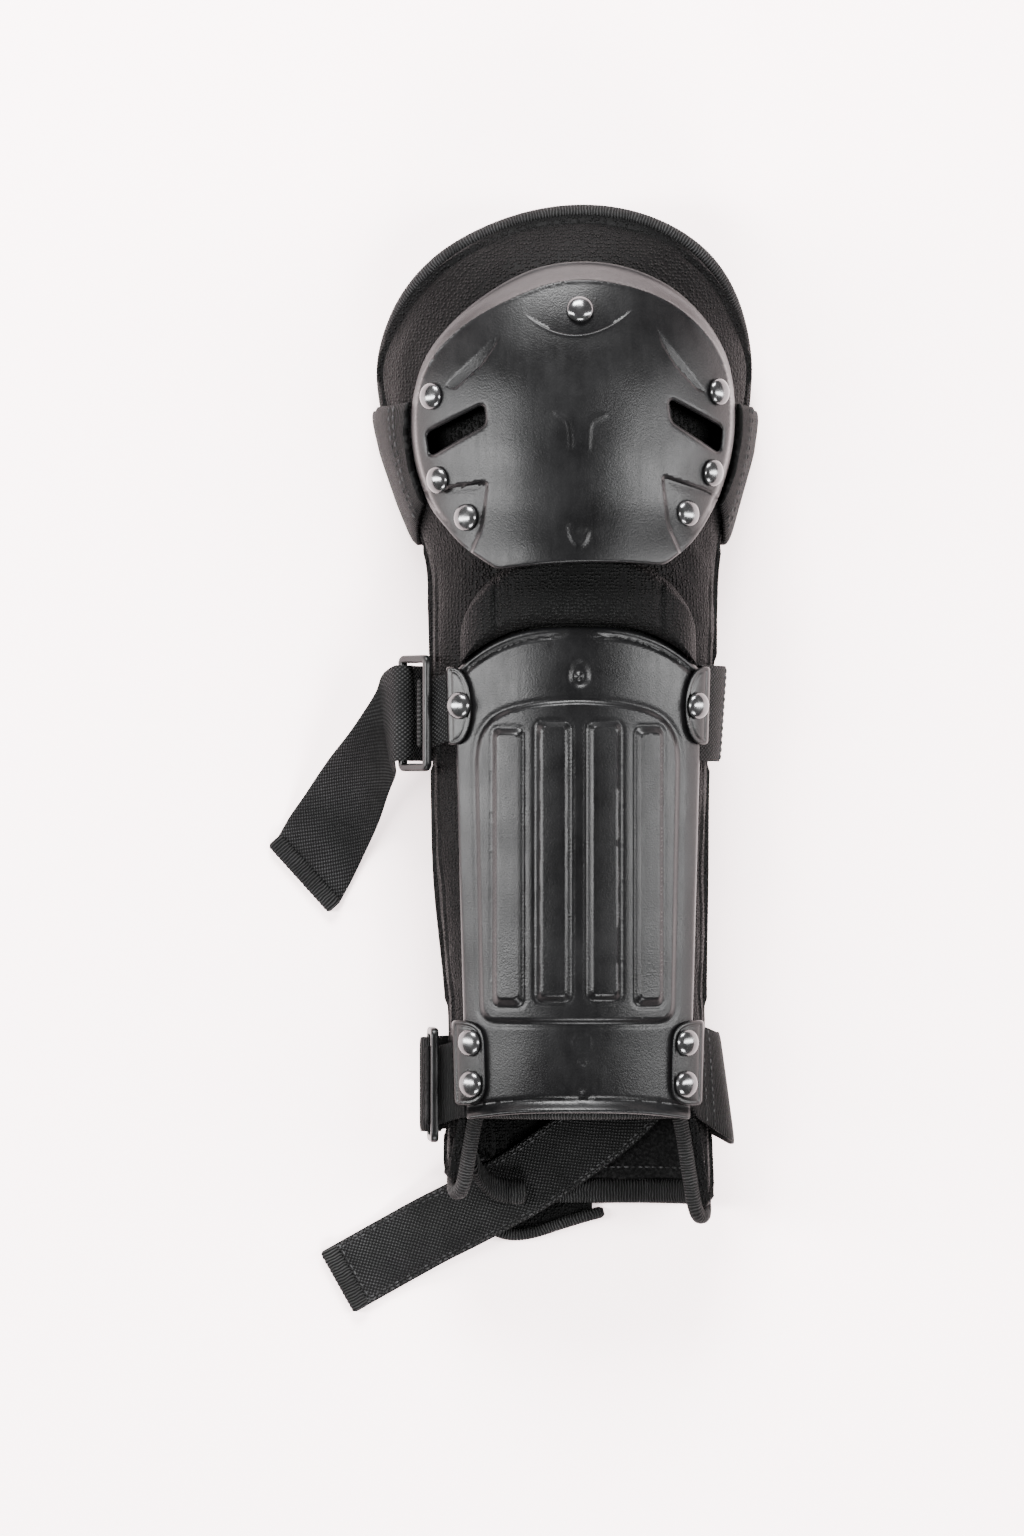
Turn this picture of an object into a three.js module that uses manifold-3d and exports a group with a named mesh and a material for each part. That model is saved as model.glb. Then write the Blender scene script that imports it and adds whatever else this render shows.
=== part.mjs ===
// Elbow and forearm guard, lying on its back: a padded body with a hard elbow cap and a hard
// forearm shell riveted to it, and three straps. Millimetres. +Z up from the surface it lies on,
// +Y towards the elbow, X across. The origin is on the underside of the middle strap.

import * as THREE from 'three';
import { mergeVertices } from 'three/addons/utils/BufferGeometryUtils.js';
import Module from 'manifold-3d';

const wasm = await Module();
wasm.setup();

const { lerp, clamp, smoothstep, degToRad, radToDeg } = THREE.MathUtils;

// Padded body
const ELBOW_REACH = 186;
const WRIST_REACH = 183;
const FOREARM_WIDTH = 101;
const ELBOW_WIDTH = 139;
const FRONT_HEIGHT = 61;
const PAD_WALL = 5.5;
const WRAP_WALL = 3.5;
const WRAP_LENGTH = 203;
const BINDING_WIDTH = 5;
const HEM_WIDTH = 10;
const HEM_THICKNESS = 5.6;
const SIDE_CORNER_RADIUS = 10;

// Hard cap and shell
const CAP_WIDTH = 120;
const CAP_LENGTH = 114.5;
const CAP_WALL = 2.8;
const CAP_LIFT = 9;
const CAP_LIP_LIFT = 3;
const CAP_POCKET_DEPTH = 1.5;
const SHELL_LENGTH = 178.5;
const SHELL_TOP_WIDTH = 92.5;
const SHELL_WRIST_WIDTH = 83;
const SHELL_WALL = 2.5;
const PANEL_RISE = 1.2;
const RIB_RISE = 2.2;
const RIB_COUNT = 4;
const RIB_WIDTH = 8;
const RIB_PITCH = 18.4;
const RIB_LENGTH = 101;
const SHELL_FLARE = 2.6;
const FLEX_PAD_RISE = 7.5;

// Fastenings
const RIVET_WIDTH = 10;
const RIVET_HEIGHT = 3.2;
const TAB_WALL = 1.8;
const UPPER_TAB_LENGTH = 29;
const UPPER_TAB_DEPTH = 9.2;
const LOWER_PLATE_LENGTH = 31.5;
const LOWER_PLATE_DEPTH = 12.1;
const BUCKLE_BAR = 3;

// Straps
const STRAP_WALL = 1.8;
const MID_STRAP_WIDTH = 35.5;
const MID_TAIL_REACH = 67;
const LOWER_STRAP_WIDTH = 35;
const ELBOW_STRAP_WIDTH = 50;
const WRIST_STRAP_WIDTH = 26;
const WRIST_STRAP_REACH = 133;
const STRAP_END_LENGTH = 5;
const STRAP_END_THICKNESS = 3.6;

// Clearances between neighbours
const GAP = 0.35;
const SEAT_GAP = 0.5;
const EDGE_GAP = 0.9;
const RIM_GAP = 1.6;
const BUCKLE_PLAY = 0.8;

// Height of the padded back above the surface: one strap lies under it
const REST = STRAP_WALL + GAP;

// Sections of the padded body. at: share of the reach, negative to the wrist. flare: 0 forearm
// width, 1 elbow width. left, right: share of that half width. shift: share of ELBOW_WIDTH.
// top, seat: front and side-seam heights, share of FRONT_HEIGHT. edge: where the front pad ends,
// degrees round from the front.
const SECTIONS = [
  { at: -1.0, flare: 0, left: 0.97, right: 0.99, shift: 0, top: 0.9, seat: 0.38, edge: 92 },
  { at: -0.8, flare: 0, left: 0.96, right: 0.96, shift: 0, top: 0.935, seat: 0.4, edge: 92 },
  { at: -0.6, flare: 0, left: 0.95, right: 0.93, shift: 0, top: 0.967, seat: 0.425, edge: 92 },
  { at: -0.33, flare: 0, left: 1.04, right: 0.94, shift: 0, top: 0.985, seat: 0.44, edge: 92 },
  { at: -0.1, flare: 0, left: 1.06, right: 0.95, shift: 0, top: 1.0, seat: 0.45, edge: 92 },
  { at: 0.107, flare: 0, left: 1.07, right: 1.0, shift: 0, top: 1.015, seat: 0.44, edge: 92 },
  { at: 0.21, flare: 0.02, left: 1.05, right: 1.02, shift: -0.008, top: 1.02, seat: 0.41, edge: 91 },
  { at: 0.305, flare: 0.17, left: 1.0, right: 1.0, shift: -0.013, top: 1.03, seat: 0.33, edge: 88 },
  { at: 0.4, flare: 0.43, left: 1.0, right: 1.0, shift: -0.022, top: 1.055, seat: 0.2, edge: 82 },
  { at: 0.535, flare: 0.8, left: 1.0, right: 1.0, shift: -0.028, top: 1.08, seat: 0.05, edge: 76 },
  { at: 0.675, flare: 1, left: 1.0, right: 1.0, shift: -0.035, top: 1.065, seat: -0.03, edge: 75 },
  { at: 0.8, flare: 1, left: 1.0, right: 1.0, shift: -0.028, top: 0.965, seat: -0.1, edge: 75 },
  { at: 0.91, flare: 1, left: 1.0, right: 1.0, shift: -0.012, top: 0.81, seat: -0.16, edge: 75 },
  { at: 1.0, flare: 1, left: 1.0, right: 1.0, shift: 0.01, top: 0.6, seat: -0.22, edge: 75 },
];
const ELBOW_SHOULDER = 0.675;
const LEAN_START = 0.5;
const BACK_DROP = 1.07;
const BACK_SQUARE = 0.72;

// Smooth value of one column of a table between its rows
function between(rows, at, column) {
  const last = rows.length - 1;
  let i = 0;
  while (i < last - 1 && at > rows[i + 1].at) i += 1;
  const a = rows[i];
  const b = rows[i + 1];
  const span = b.at - a.at;
  const slope = (k) => {
    const low = rows[Math.max(k - 1, 0)];
    const high = rows[Math.min(k + 1, last)];
    return ((high[column] - low[column]) / (high.at - low.at)) * span;
  };
  const t = (at - a.at) / span;
  if (t < 0) return a[column] + slope(i) * t;
  if (t > 1) return b[column] + slope(i + 1) * (t - 1);
  const t2 = t * t;
  const t3 = t2 * t;
  return (2 * t3 - 3 * t2 + 1) * a[column] + (t3 - 2 * t2 + t) * slope(i)
    + (3 * t2 - 2 * t3) * b[column] + (t3 - t2) * slope(i + 1);
}

// Outer form of the padded body at one station along it
function section(y) {
  const at = y / (y < 0 ? WRIST_REACH : ELBOW_REACH);
  const edge = degToRad(between(SECTIONS, at, 'edge'));
  const half = lerp(FOREARM_WIDTH, ELBOW_WIDTH, between(SECTIONS, at, 'flare')) / 2;
  const radius = half / Math.sin(Math.min(edge, Math.PI / 2));
  return {
    edge,
    left: radius * between(SECTIONS, at, 'left'),
    right: radius * between(SECTIONS, at, 'right'),
    shift: ELBOW_WIDTH * between(SECTIONS, at, 'shift'),
    top: FRONT_HEIGHT * between(SECTIONS, at, 'top'),
    seat: FRONT_HEIGHT * between(SECTIONS, at, 'seat'),
  };
}

// Point of that form, angle measured round the arm from the front, positive to the right
function form(y, angle) {
  const s = section(y);
  const across = Math.sin(angle);
  const up = Math.cos(angle);
  const radius = lerp(s.right, s.left, smoothstep(-across, LEAN_START, 1));
  if (up >= 0) {
    return new THREE.Vector3(s.shift + radius * across, y, s.seat + (s.top - s.seat) * up);
  }
  const x = s.shift + radius * Math.sign(across) * Math.abs(across) ** BACK_SQUARE;
  const drop = (s.seat - REST) * BACK_DROP * (-up) ** BACK_SQUARE;
  return new THREE.Vector3(x, y, Math.max(s.seat - drop, REST));
}

// Point at a distance outside the form, and the direction that distance is measured in
function outside(y, angle, distance) {
  const turn = 0.01;
  const step = 0.5;
  const round = form(y, angle + turn).sub(form(y, angle - turn));
  const along = form(y + step, angle).sub(form(y - step, angle));
  const normal = round.cross(along).normalize();
  const point = form(y, angle).addScaledVector(normal, distance);
  return { point, normal, y, angle };
}

// The same, found from where the point is seen from the front
function facing(x, y, distance) {
  let aimX = x;
  let aimY = y;
  let hit;
  for (let k = 0; k < 7; k += 1) {
    const s = section(aimY);
    const radius = aimX < s.shift ? s.left : s.right;
    hit = outside(aimY, Math.asin(clamp((aimX - s.shift) / radius, -0.999, 0.999)), distance);
    aimX += x - hit.point.x;
    aimY += y - hit.point.y;
  }
  return hit;
}

// Merged, outward-facing mesh data from points and triangles
function closedGeometry(points, triangles) {
  const flat = new THREE.BufferGeometry();
  flat.setAttribute('position', new THREE.Float32BufferAttribute(points.flatMap((p) => p.toArray()), 3));
  flat.setIndex(triangles.flat());
  return weld(flat);
}

function weld(geometry) {
  geometry.deleteAttribute('normal');
  geometry.deleteAttribute('uv');
  const merged = mergeVertices(geometry, 1e-3);
  const index = merged.index.array;
  const position = merged.attributes.position;
  const corner = [0, 1, 2].map(() => new THREE.Vector3());
  const kept = [];
  let volume = 0;
  for (let i = 0; i < index.length; i += 3) {
    const [a, b, c] = [index[i], index[i + 1], index[i + 2]];
    if (a === b || b === c || c === a) continue;
    [a, b, c].forEach((v, k) => corner[k].fromBufferAttribute(position, v));
    volume += corner[0].dot(corner[1].clone().cross(corner[2]));
    kept.push(a, b, c);
  }
  if (volume < 0) {
    for (let i = 0; i < kept.length; i += 3) [kept[i], kept[i + 1]] = [kept[i + 1], kept[i]];
  }
  merged.setIndex(kept);
  return merged;
}

// Wall between an outer and an inner grid of points; around: the columns close on themselves
function wallGeometry(outer, inner, around = false) {
  const rows = outer.length;
  const cols = outer[0].length;
  const half = rows * cols;
  const triangles = [];
  const quad = (a, b, c, d) => triangles.push([a, b, c], [a, c, d]);
  const spans = around ? cols : cols - 1;
  for (let i = 0; i < rows - 1; i += 1) {
    for (let j = 0; j < spans; j += 1) {
      const next = (j + 1) % cols;
      const a = i * cols + j;
      const b = i * cols + next;
      quad(a, b, b + cols, a + cols);
      quad(half + a, half + a + cols, half + b + cols, half + b);
    }
  }
  const rim = [];
  const last = (rows - 1) * cols;
  if (around) {
    for (let j = 0; j < cols; j += 1) rim.push([last + ((j + 1) % cols), last + j]);
    for (let j = 0; j < cols; j += 1) rim.push([j, (j + 1) % cols]);
  } else {
    for (let j = 0; j < cols - 1; j += 1) rim.push([j, j + 1], [last + j + 1, last + j]);
    for (let i = 0; i < rows - 1; i += 1) {
      rim.push([(i + 1) * cols, i * cols], [i * cols + cols - 1, (i + 1) * cols + cols - 1]);
    }
  }
  rim.forEach(([p, q]) => quad(p, half + p, half + q, q));
  return closedGeometry([...outer.flat(), ...inner.flat()], triangles);
}

// Grid of points from two lists of parameters
function grid(rows, cols, place) {
  return rows.map((row, i) => cols.map((col, j) => place(row, col, i, j)));
}

function steps(count, from = 0, to = 1) {
  return Array.from({ length: count + 1 }, (_, i) => lerp(from, to, i / count));
}

// Band of even thickness on a grid of middle points
function bandGeometry(middle, thickness) {
  const rows = middle.length;
  const cols = middle[0].length;
  const normals = grid([...middle.keys()], [...middle[0].keys()], (i, j) => {
    const along = middle[Math.min(i + 1, rows - 1)][j].clone().sub(middle[Math.max(i - 1, 0)][j]);
    const across = middle[i][Math.min(j + 1, cols - 1)].clone().sub(middle[i][Math.max(j - 1, 0)]);
    return across.cross(along).normalize();
  });
  const side = (sign) => middle.map((row, i) => row.map(
    (p, j) => p.clone().addScaledVector(normals[i][j], (sign * thickness) / 2),
  ));
  return wallGeometry(side(1), side(-1));
}

// Roll of oval section along stations that hold a point and two directions across it
function rollGeometry(stations, width, height, sides, closed) {
  const ring = (s) => steps(sides - 1, 0, (2 * Math.PI * (sides - 1)) / sides).map((a) => s.point.clone()
    .addScaledVector(s.wide, (width / 2) * Math.cos(a))
    .addScaledVector(s.high, (height / 2) * Math.sin(a)));
  const rings = stations.map(ring);
  const points = rings.flat();
  const triangles = [];
  const count = rings.length;
  for (let i = 0; i < (closed ? count : count - 1); i += 1) {
    const next = (i + 1) % count;
    for (let j = 0; j < sides; j += 1) {
      const k = (j + 1) % sides;
      const [a, b, c, d] = [i * sides + j, i * sides + k, next * sides + k, next * sides + j];
      triangles.push([a, b, c], [a, c, d]);
    }
  }
  if (!closed) {
    for (let k = 1; k < sides - 1; k += 1) {
      const end = (count - 1) * sides;
      triangles.push([0, k + 1, k], [end, end + k, end + k + 1]);
    }
  }
  return closedGeometry(points, triangles);
}

// Upright prism over a plan outline, its base following a height
function prismGeometry(outline, base, top) {
  const n = outline.length;
  const points = [
    ...outline.map((p) => new THREE.Vector3(p.x, p.y, base(p.x, p.y))),
    ...outline.map((p) => new THREE.Vector3(p.x, p.y, top)),
  ];
  const faces = THREE.ShapeUtils.triangulateShape(outline, []);
  const triangles = [];
  faces.forEach(([a, b, c]) => triangles.push([a, c, b], [n + a, n + b, n + c]));
  for (let i = 0; i < n; i += 1) {
    const j = (i + 1) % n;
    triangles.push([i, j, n + j], [i, n + j, n + i]);
  }
  return closedGeometry(points, triangles);
}

// Polygon with its corners rounded
function roundedOutline(corners, radius) {
  const shape = new THREE.Shape();
  corners.forEach((corner, i) => {
    const before = corners[(i + corners.length - 1) % corners.length];
    const after = corners[(i + 1) % corners.length];
    const enter = corner.clone().add(before.clone().sub(corner).setLength(radius));
    const leave = corner.clone().add(after.clone().sub(corner).setLength(radius));
    if (i === 0) shape.moveTo(enter.x, enter.y);
    else shape.lineTo(enter.x, enter.y);
    shape.quadraticCurveTo(corner.x, corner.y, leave.x, leave.y);
  });
  shape.closePath();
  const points = shape.getPoints(3);
  points.pop();
  if (THREE.ShapeUtils.isClockWise(points)) points.reverse();
  return points;
}

function toSolid(geometry) {
  return new wasm.Manifold(new wasm.Mesh({
    numProp: 3,
    vertProperties: new Float32Array(geometry.attributes.position.array),
    triVerts: new Uint32Array(geometry.index.array),
  }));
}

function fromSolid(solid) {
  const mesh = solid.getMesh();
  const geometry = new THREE.BufferGeometry();
  geometry.setAttribute('position', new THREE.BufferAttribute(new Float32Array(mesh.vertProperties), 3));
  geometry.setIndex(new THREE.BufferAttribute(new Uint32Array(mesh.triVerts), 1));
  return geometry;
}

// Finishes
const finish = (color, roughness, metalness = 0) => () => new THREE.MeshStandardMaterial({
  color, roughness, metalness,
});
const shellFinish = finish(0x1b1b1c, 0.4);
const padFinish = finish(0x121213, 0.9);
const bindingFinish = finish(0x0e0e0f, 0.8);
const strapFinish = finish(0x161617, 0.85);
const tabFinish = finish(0x141415, 0.5);
const rivetFinish = finish(0x3a3a3c, 0.22, 0.9);

const guard = new THREE.Group();

function addPiece(name, geometry, material) {
  const mesh = new THREE.Mesh(geometry, material());
  mesh.name = name;
  guard.add(mesh);
  return mesh;
}

// Front pad

// The wrist end of the pad is cut back under the shell's lip and runs on down both side walls
const SHELL_TOP = 0.181 * SHELL_LENGTH;
const SHELL_BOTTOM = SHELL_TOP - SHELL_LENGTH;
const LIP_COVER = 3;
const CUT_START = 55;
const CUT_END = 73;
const ROUND_START = 76;
const LEFT_CORNER_RISE = 9;

function padWristEnd(angle, edge) {
  const turned = Math.abs(angle);
  const corner = -WRIST_REACH + (angle < 0 ? LEFT_CORNER_RISE : 0);
  const cut = smoothstep(turned, degToRad(CUT_START), degToRad(CUT_END));
  const round = clamp((turned - degToRad(ROUND_START)) / (edge - degToRad(ROUND_START)), 0, 1);
  const lift = SIDE_CORNER_RADIUS * (1 - Math.sqrt(1 - round * round));
  return lerp(SHELL_BOTTOM + LIP_COVER, corner, cut) + lift;
}

// The elbow end is a half ellipse as seen from the front
function padElbowEnd(share) {
  const shoulder = ELBOW_SHOULDER * ELBOW_REACH;
  const s = section(shoulder);
  const across = Math.sin(share * s.edge) / Math.sin(s.edge);
  return shoulder + (ELBOW_REACH - shoulder) * Math.sqrt(Math.max(1 - across * across, 0));
}

function padPoint(share, along, distance) {
  const wristEdge = section(-WRIST_REACH).edge;
  const y = lerp(padWristEnd(share * wristEdge, wristEdge), padElbowEnd(share), along);
  return outside(y, share * section(y).edge, distance);
}

const PAD_SHARES = [0, 0.17, 0.33, 0.48, 0.6, 0.655, 0.7, 0.75, 0.8, 0.87, 0.93, 0.975, 1];
const padColumns = [...PAD_SHARES.slice(1).reverse().map((s) => -s), ...PAD_SHARES];
const PAD_ROWS = 21;
addPiece(
  'front_pad',
  wallGeometry(
    grid(steps(PAD_ROWS), padColumns, (v, u) => padPoint(u, v, 0).point),
    grid(steps(PAD_ROWS), padColumns, (v, u) => padPoint(u, v, -PAD_WALL).point),
  ),
  padFinish,
);

// Binding rolled round the whole edge of the pad
function padEdge() {
  const middle = -PAD_WALL / 2;
  const dense = steps(7).map((t) => 0.9 + 0.1 * Math.sin((t * Math.PI) / 2));
  const side = [...steps(8, 0, 0.55), ...steps(3, 0.6, 0.85), ...steps(3, 0.9, 1)];
  const fine = [0, 0.2, 0.4, 0.52, 0.6, 0.64, 0.68, 0.72, 0.76, 0.82, ...dense.slice(1, -1)];
  const across = [...fine.slice(1).reverse().map((s) => -s), ...fine];
  const top = steps(22, -Math.PI / 2, Math.PI / 2).map((a) => Math.sin(a)).slice(1, -1);
  return [
    ...across.map((u) => padPoint(u, 0, middle)),
    ...side.map((v) => padPoint(1, v, middle)),
    ...top.reverse().map((u) => padPoint(u, 1, middle)),
    ...side.reverse().map((v) => padPoint(-1, v, middle)),
  ];
}

function besideEdge(edge, distance) {
  const count = edge.length;
  return edge.map((here, i) => {
    const along = edge[(i + 1) % count].point.clone().sub(edge[(i + count - 1) % count].point);
    const wide = along.cross(here.normal).normalize();
    const high = here.normal.clone();
    return { point: here.point.clone().addScaledVector(wide, distance), wide, high };
  });
}

addPiece(
  'pad_binding',
  rollGeometry(besideEdge(padEdge(), EDGE_GAP + BINDING_WIDTH / 2), BINDING_WIDTH, BINDING_WIDTH, 6, true),
  bindingFinish,
);

// Rear wrap: closes the sleeve behind, from beside the binding on one side to the other
const WRAP_END = -WRIST_REACH + HEM_WIDTH + GAP;
const BACK_TURN = Math.PI;

function wrapStart(y, side) {
  const s = section(y);
  const clear = 2.4 * EDGE_GAP + BINDING_WIDTH;
  let angle = s.edge;
  let length = 0;
  let from = form(y, side * angle);
  while (length < clear) {
    angle += 0.01;
    const to = form(y, side * angle);
    length += to.distanceTo(from);
    from = to;
  }
  return angle;
}

function wrapPoint(y, share, distance) {
  const side = share < 0 ? -1 : 1;
  const angle = side * lerp(BACK_TURN, wrapStart(y, side), Math.abs(share));
  return outside(y, angle, distance).point;
}

// On the left its end stops short of the hem: the wrist strap passes out through that slit
const SLIT = 12;
const wrapEnd = (share) => WRAP_END + SLIT * smoothstep(-share, 0.1, 0.4);
const wrapColumns = [-1, -0.85, -0.65, -0.45, -0.3, -0.15, 0, 0.25, 0.45, 0.65, 0.85, 1];
const wrapGrid = (distance) => grid(steps(8), wrapColumns, (v, u) => (
  wrapPoint(lerp(wrapEnd(u), WRAP_END + WRAP_LENGTH, v), u, distance)));
addPiece(
  'rear_wrap',
  wallGeometry(wrapGrid(0), wrapGrid(-WRAP_WALL)),
  padFinish,
);

// Wrist hem of the rear wrap: its right stretch lies under the wrist strap, its left over it
const HEM_SPLIT = -0.19 * FOREARM_WIDTH;
const HEM_SIDE_TURN = 107;
const HEM_LINE = -WRIST_REACH + HEM_WIDTH / 2 - GAP;

function backShareAngle(x) {
  const s = section(HEM_LINE);
  const radius = x < s.shift ? s.left : s.right;
  return Math.PI - Math.sign(x) * Math.asin((Math.abs(x) / radius) ** (1 / BACK_SQUARE));
}

function hemStation(angle, raise) {
  const at = outside(HEM_LINE, angle, -WRAP_WALL / 2);
  const wide = new THREE.Vector3(0, 1, 0);
  const high = at.normal.clone();
  return { point: at.point.addScaledVector(high, -raise), wide, high };
}

const rightHem = steps(16, degToRad(HEM_SIDE_TURN), 2 * Math.PI - backShareAngle(-HEM_SPLIT));
addPiece(
  'wrap_hem',
  rollGeometry(rightHem.map((a) => hemStation(a, 0)), HEM_WIDTH - 2 * GAP, HEM_THICKNESS, 8, false),
  bindingFinish,
);

// Flex pad between the cap and the shell

const SHELL_TOP_ARCH = 17;
const SHELL_BOTTOM_ARCH = 3.4;
const ARCH_POWER = 2.8;
const shellOuter = SEAT_GAP + SHELL_WALL;

function shellHalfWidth(y) {
  const along = clamp((y - SHELL_BOTTOM) / SHELL_LENGTH, 0, 1);
  return lerp(SHELL_WRIST_WIDTH, SHELL_TOP_WIDTH, along) / 2;
}

function arch(share, depth) {
  return -depth * Math.abs(share) ** ARCH_POWER;
}

function shellTopAt(x) {
  return SHELL_TOP + arch((2 * x) / SHELL_TOP_WIDTH, SHELL_TOP_ARCH);
}

const FLEX_WIDTH = 0.94 * SHELL_TOP_WIDTH;
const FLEX_LENGTH = 27;
const FLEX_SOLE = 1.6;
const FLEX_SHOULDER = 0.16;

function flexPoint(across, along, lifted) {
  const x = (across * FLEX_WIDTH) / 2;
  const low = shellTopAt(x) + EDGE_GAP;
  const high = SHELL_TOP + EDGE_GAP - 0.3 * SHELL_TOP_ARCH * across ** 2
    + FLEX_LENGTH * Math.sqrt(Math.max(1 - Math.abs(across) ** 2.4, 0));
  const edge = Math.min(1 - Math.abs(across), along, 1 - along) / FLEX_SHOULDER;
  const rise = FLEX_SOLE + (FLEX_PAD_RISE - FLEX_SOLE) * Math.sqrt(1 - (1 - Math.min(edge, 1)) ** 2);
  return facing(x, lerp(low, high, along), SEAT_GAP + (lifted ? rise : 0)).point;
}

const flexRows = [0, 0.06, 0.16, 0.35, 0.6, 0.84, 0.94, 1];
const flexColumns = [-1, -0.95, -0.84, -0.6, -0.3, 0, 0.3, 0.6, 0.84, 0.95, 1];
addPiece(
  'flex_pad',
  wallGeometry(
    grid(flexRows, flexColumns, (v, u) => flexPoint(u, v, true)),
    grid(flexRows, flexColumns, (v, u) => flexPoint(u, v, false)),
  ),
  padFinish,
);

// Elbow cap

const CAP_X = -0.014 * CAP_WIDTH;
const CAP_Y = 0.591 * ELBOW_REACH;
const CAP_FLANGE_TOP = 8;
const CAP_FLANGE_SIDE = 2.2;
const CAP_OPEN_HEIGHT = 0.33;

// Outline of the cap from its lower left corner over the top to its lower right corner, as
// shares of half its width and half its length from its middle
const CAP_OUTLINE = [
  { x: -0.47, y: -1.0 },
  { x: -0.67, y: -0.85 },
  { x: -0.79, y: -0.71 },
  { x: -0.9, y: -0.54 },
  { x: -0.99, y: -0.22 },
  { x: -0.99, y: 0.12 },
  { x: -0.88, y: 0.44 },
  { x: -0.6, y: 0.74 },
  { x: -0.2, y: 0.96 },
  { x: 0.24, y: 0.98 },
  { x: 0.65, y: 0.8 },
  { x: 0.93, y: 0.44 },
  { x: 1.0, y: 0.0 },
  { x: 0.93, y: -0.42 },
  { x: 0.75, y: -0.78 },
  { x: 0.55, y: -0.97 },
];
const CAP_LIP_SAG = 0.03;

function capPlan(x, y) {
  return new THREE.Vector2(CAP_X + (x * CAP_WIDTH) / 2, CAP_Y + (y * CAP_LENGTH) / 2);
}

function capOutline(domeCount, lipCount) {
  const dome = new THREE.SplineCurve(CAP_OUTLINE.map((row) => capPlan(row.x, row.y)));
  const [start, end] = [CAP_OUTLINE[0], CAP_OUTLINE[CAP_OUTLINE.length - 1]];
  const middle = capPlan((start.x + end.x) / 2, (start.y + end.y) / 2 + 2 * CAP_LIP_SAG);
  const lip = new THREE.QuadraticBezierCurve(capPlan(end.x, end.y), middle, capPlan(start.x, start.y));
  return [...dome.getSpacedPoints(domeCount).slice(0, -1), ...lip.getPoints(lipCount).slice(0, -1)];
}

const capRim = capOutline(46, 9);

function capRimDistance(x, y) {
  const here = new THREE.Vector2(x, y);
  let nearest = Infinity;
  capRim.forEach((a, i) => {
    const b = capRim[(i + 1) % capRim.length];
    const side = b.clone().sub(a);
    const t = clamp(here.clone().sub(a).dot(side) / side.lengthSq(), 0, 1);
    nearest = Math.min(nearest, here.distanceTo(a.clone().addScaledVector(side, t)));
  });
  return nearest;
}

// Distance of the cap's outside from the pad, at a place seen from the front: a sloped flange
// rises from the rim, and the lower edge stands open over the flex pad
function capRise(x, y) {
  const share = (x - CAP_X) / (CAP_WIDTH / 2);
  const body = SEAT_GAP + CAP_WALL + CAP_LIFT * (1 - 0.5 * share * share);
  const lowEdge = CAP_Y - CAP_LENGTH / 2;
  const open = 1 - smoothstep(y, lowEdge + 0.02 * CAP_LENGTH, lowEdge + CAP_OPEN_HEIGHT * CAP_LENGTH);
  const toTop = Math.atan2(y - CAP_Y, Math.abs(x - CAP_X)) / (Math.PI / 2);
  const flange = lerp(CAP_FLANGE_SIDE, CAP_FLANGE_TOP, smoothstep(toTop, 0.1, 0.85));
  const up = smoothstep(capRimDistance(x, y) / flange, 0, 1);
  const rise = lerp(SEAT_GAP + CAP_WALL, body, Math.max(up, smoothstep(open, 0, 0.8)));
  return rise + CAP_LIP_LIFT * open * open;
}

function capWall(depth) {
  const rings = [0, 0.25, 0.5, 0.72, 0.86, 0.93, 0.965, 1];
  return grid(rings, capRim, (ring, rim) => {
    const x = lerp(CAP_X, rim.x, ring);
    const y = lerp(CAP_Y, rim.y, ring);
    return facing(x, y, capRise(x, y) - depth).point;
  });
}

// Through windows and recessed rivet corners, corners as shares from the cap's middle
const CAP_WINDOWS = [
  [[-0.9, -0.11], [-0.55, 0.06], [-0.54, -0.07], [-0.88, -0.26]],
  [[0.58, 0.1], [0.91, -0.07], [0.895, -0.235], [0.595, -0.045]],
];
const CAP_POCKETS = [
  [[-0.86, -0.47], [-0.52, -0.455], [-0.565, -0.74], [-0.62, -0.86], [-0.74, -0.82]],
  [[0.55, -0.41], [0.9, -0.53], [0.76, -0.78], [0.62, -0.86], [0.57, -0.72]],
];
const WINDOW_CORNER = 1.6;
const POCKET_CORNER = 1.8;
const CUT_BELOW = 30;
const CUT_ABOVE = 40;

function planOutline(corners, radius) {
  return roundedOutline(corners.map(([x, y]) => capPlan(x, y)), radius);
}

function capGeometry() {
  let cap = toSolid(wallGeometry(capWall(0), capWall(CAP_WALL), true));
  CAP_WINDOWS.forEach((corners) => {
    const outline = planOutline(corners, WINDOW_CORNER);
    const top = FRONT_HEIGHT + CUT_ABOVE;
    cap = cap.subtract(toSolid(prismGeometry(outline, () => FRONT_HEIGHT - CUT_BELOW - CUT_ABOVE, top)));
  });
  CAP_POCKETS.forEach((corners) => {
    const outline = planOutline(corners, POCKET_CORNER);
    const floor = (x, y) => facing(x, y, capRise(x, y) - CAP_POCKET_DEPTH).point.z;
    cap = cap.subtract(toSolid(prismGeometry(outline, floor, FRONT_HEIGHT + CUT_ABOVE)));
  });
  return fromSolid(cap);
}

addPiece('elbow_cap', capGeometry(), shellFinish);

// Forearm shell: panel and ribs stand in steps over a plain moulded wall

const PANEL_TURN_TOP = 45;
const PANEL_TURN_WRIST = 42;
const PANEL_TOP = SHELL_TOP - 0.154 * SHELL_LENGTH;
const PANEL_BOTTOM = SHELL_BOTTOM + 0.195 * SHELL_LENGTH;
const STEP_WIDTH = 1.2;
const RIB_TOP = PANEL_TOP - 0.044 * SHELL_LENGTH;
const RIB_BOTTOM = RIB_TOP - RIB_LENGTH;
const PANEL_ARCH = 6;
const RIB_ARCH = 3.4;

function shellEdgeAngle(y, side) {
  return facing(side * shellHalfWidth(y), y, shellOuter).angle;
}

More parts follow.
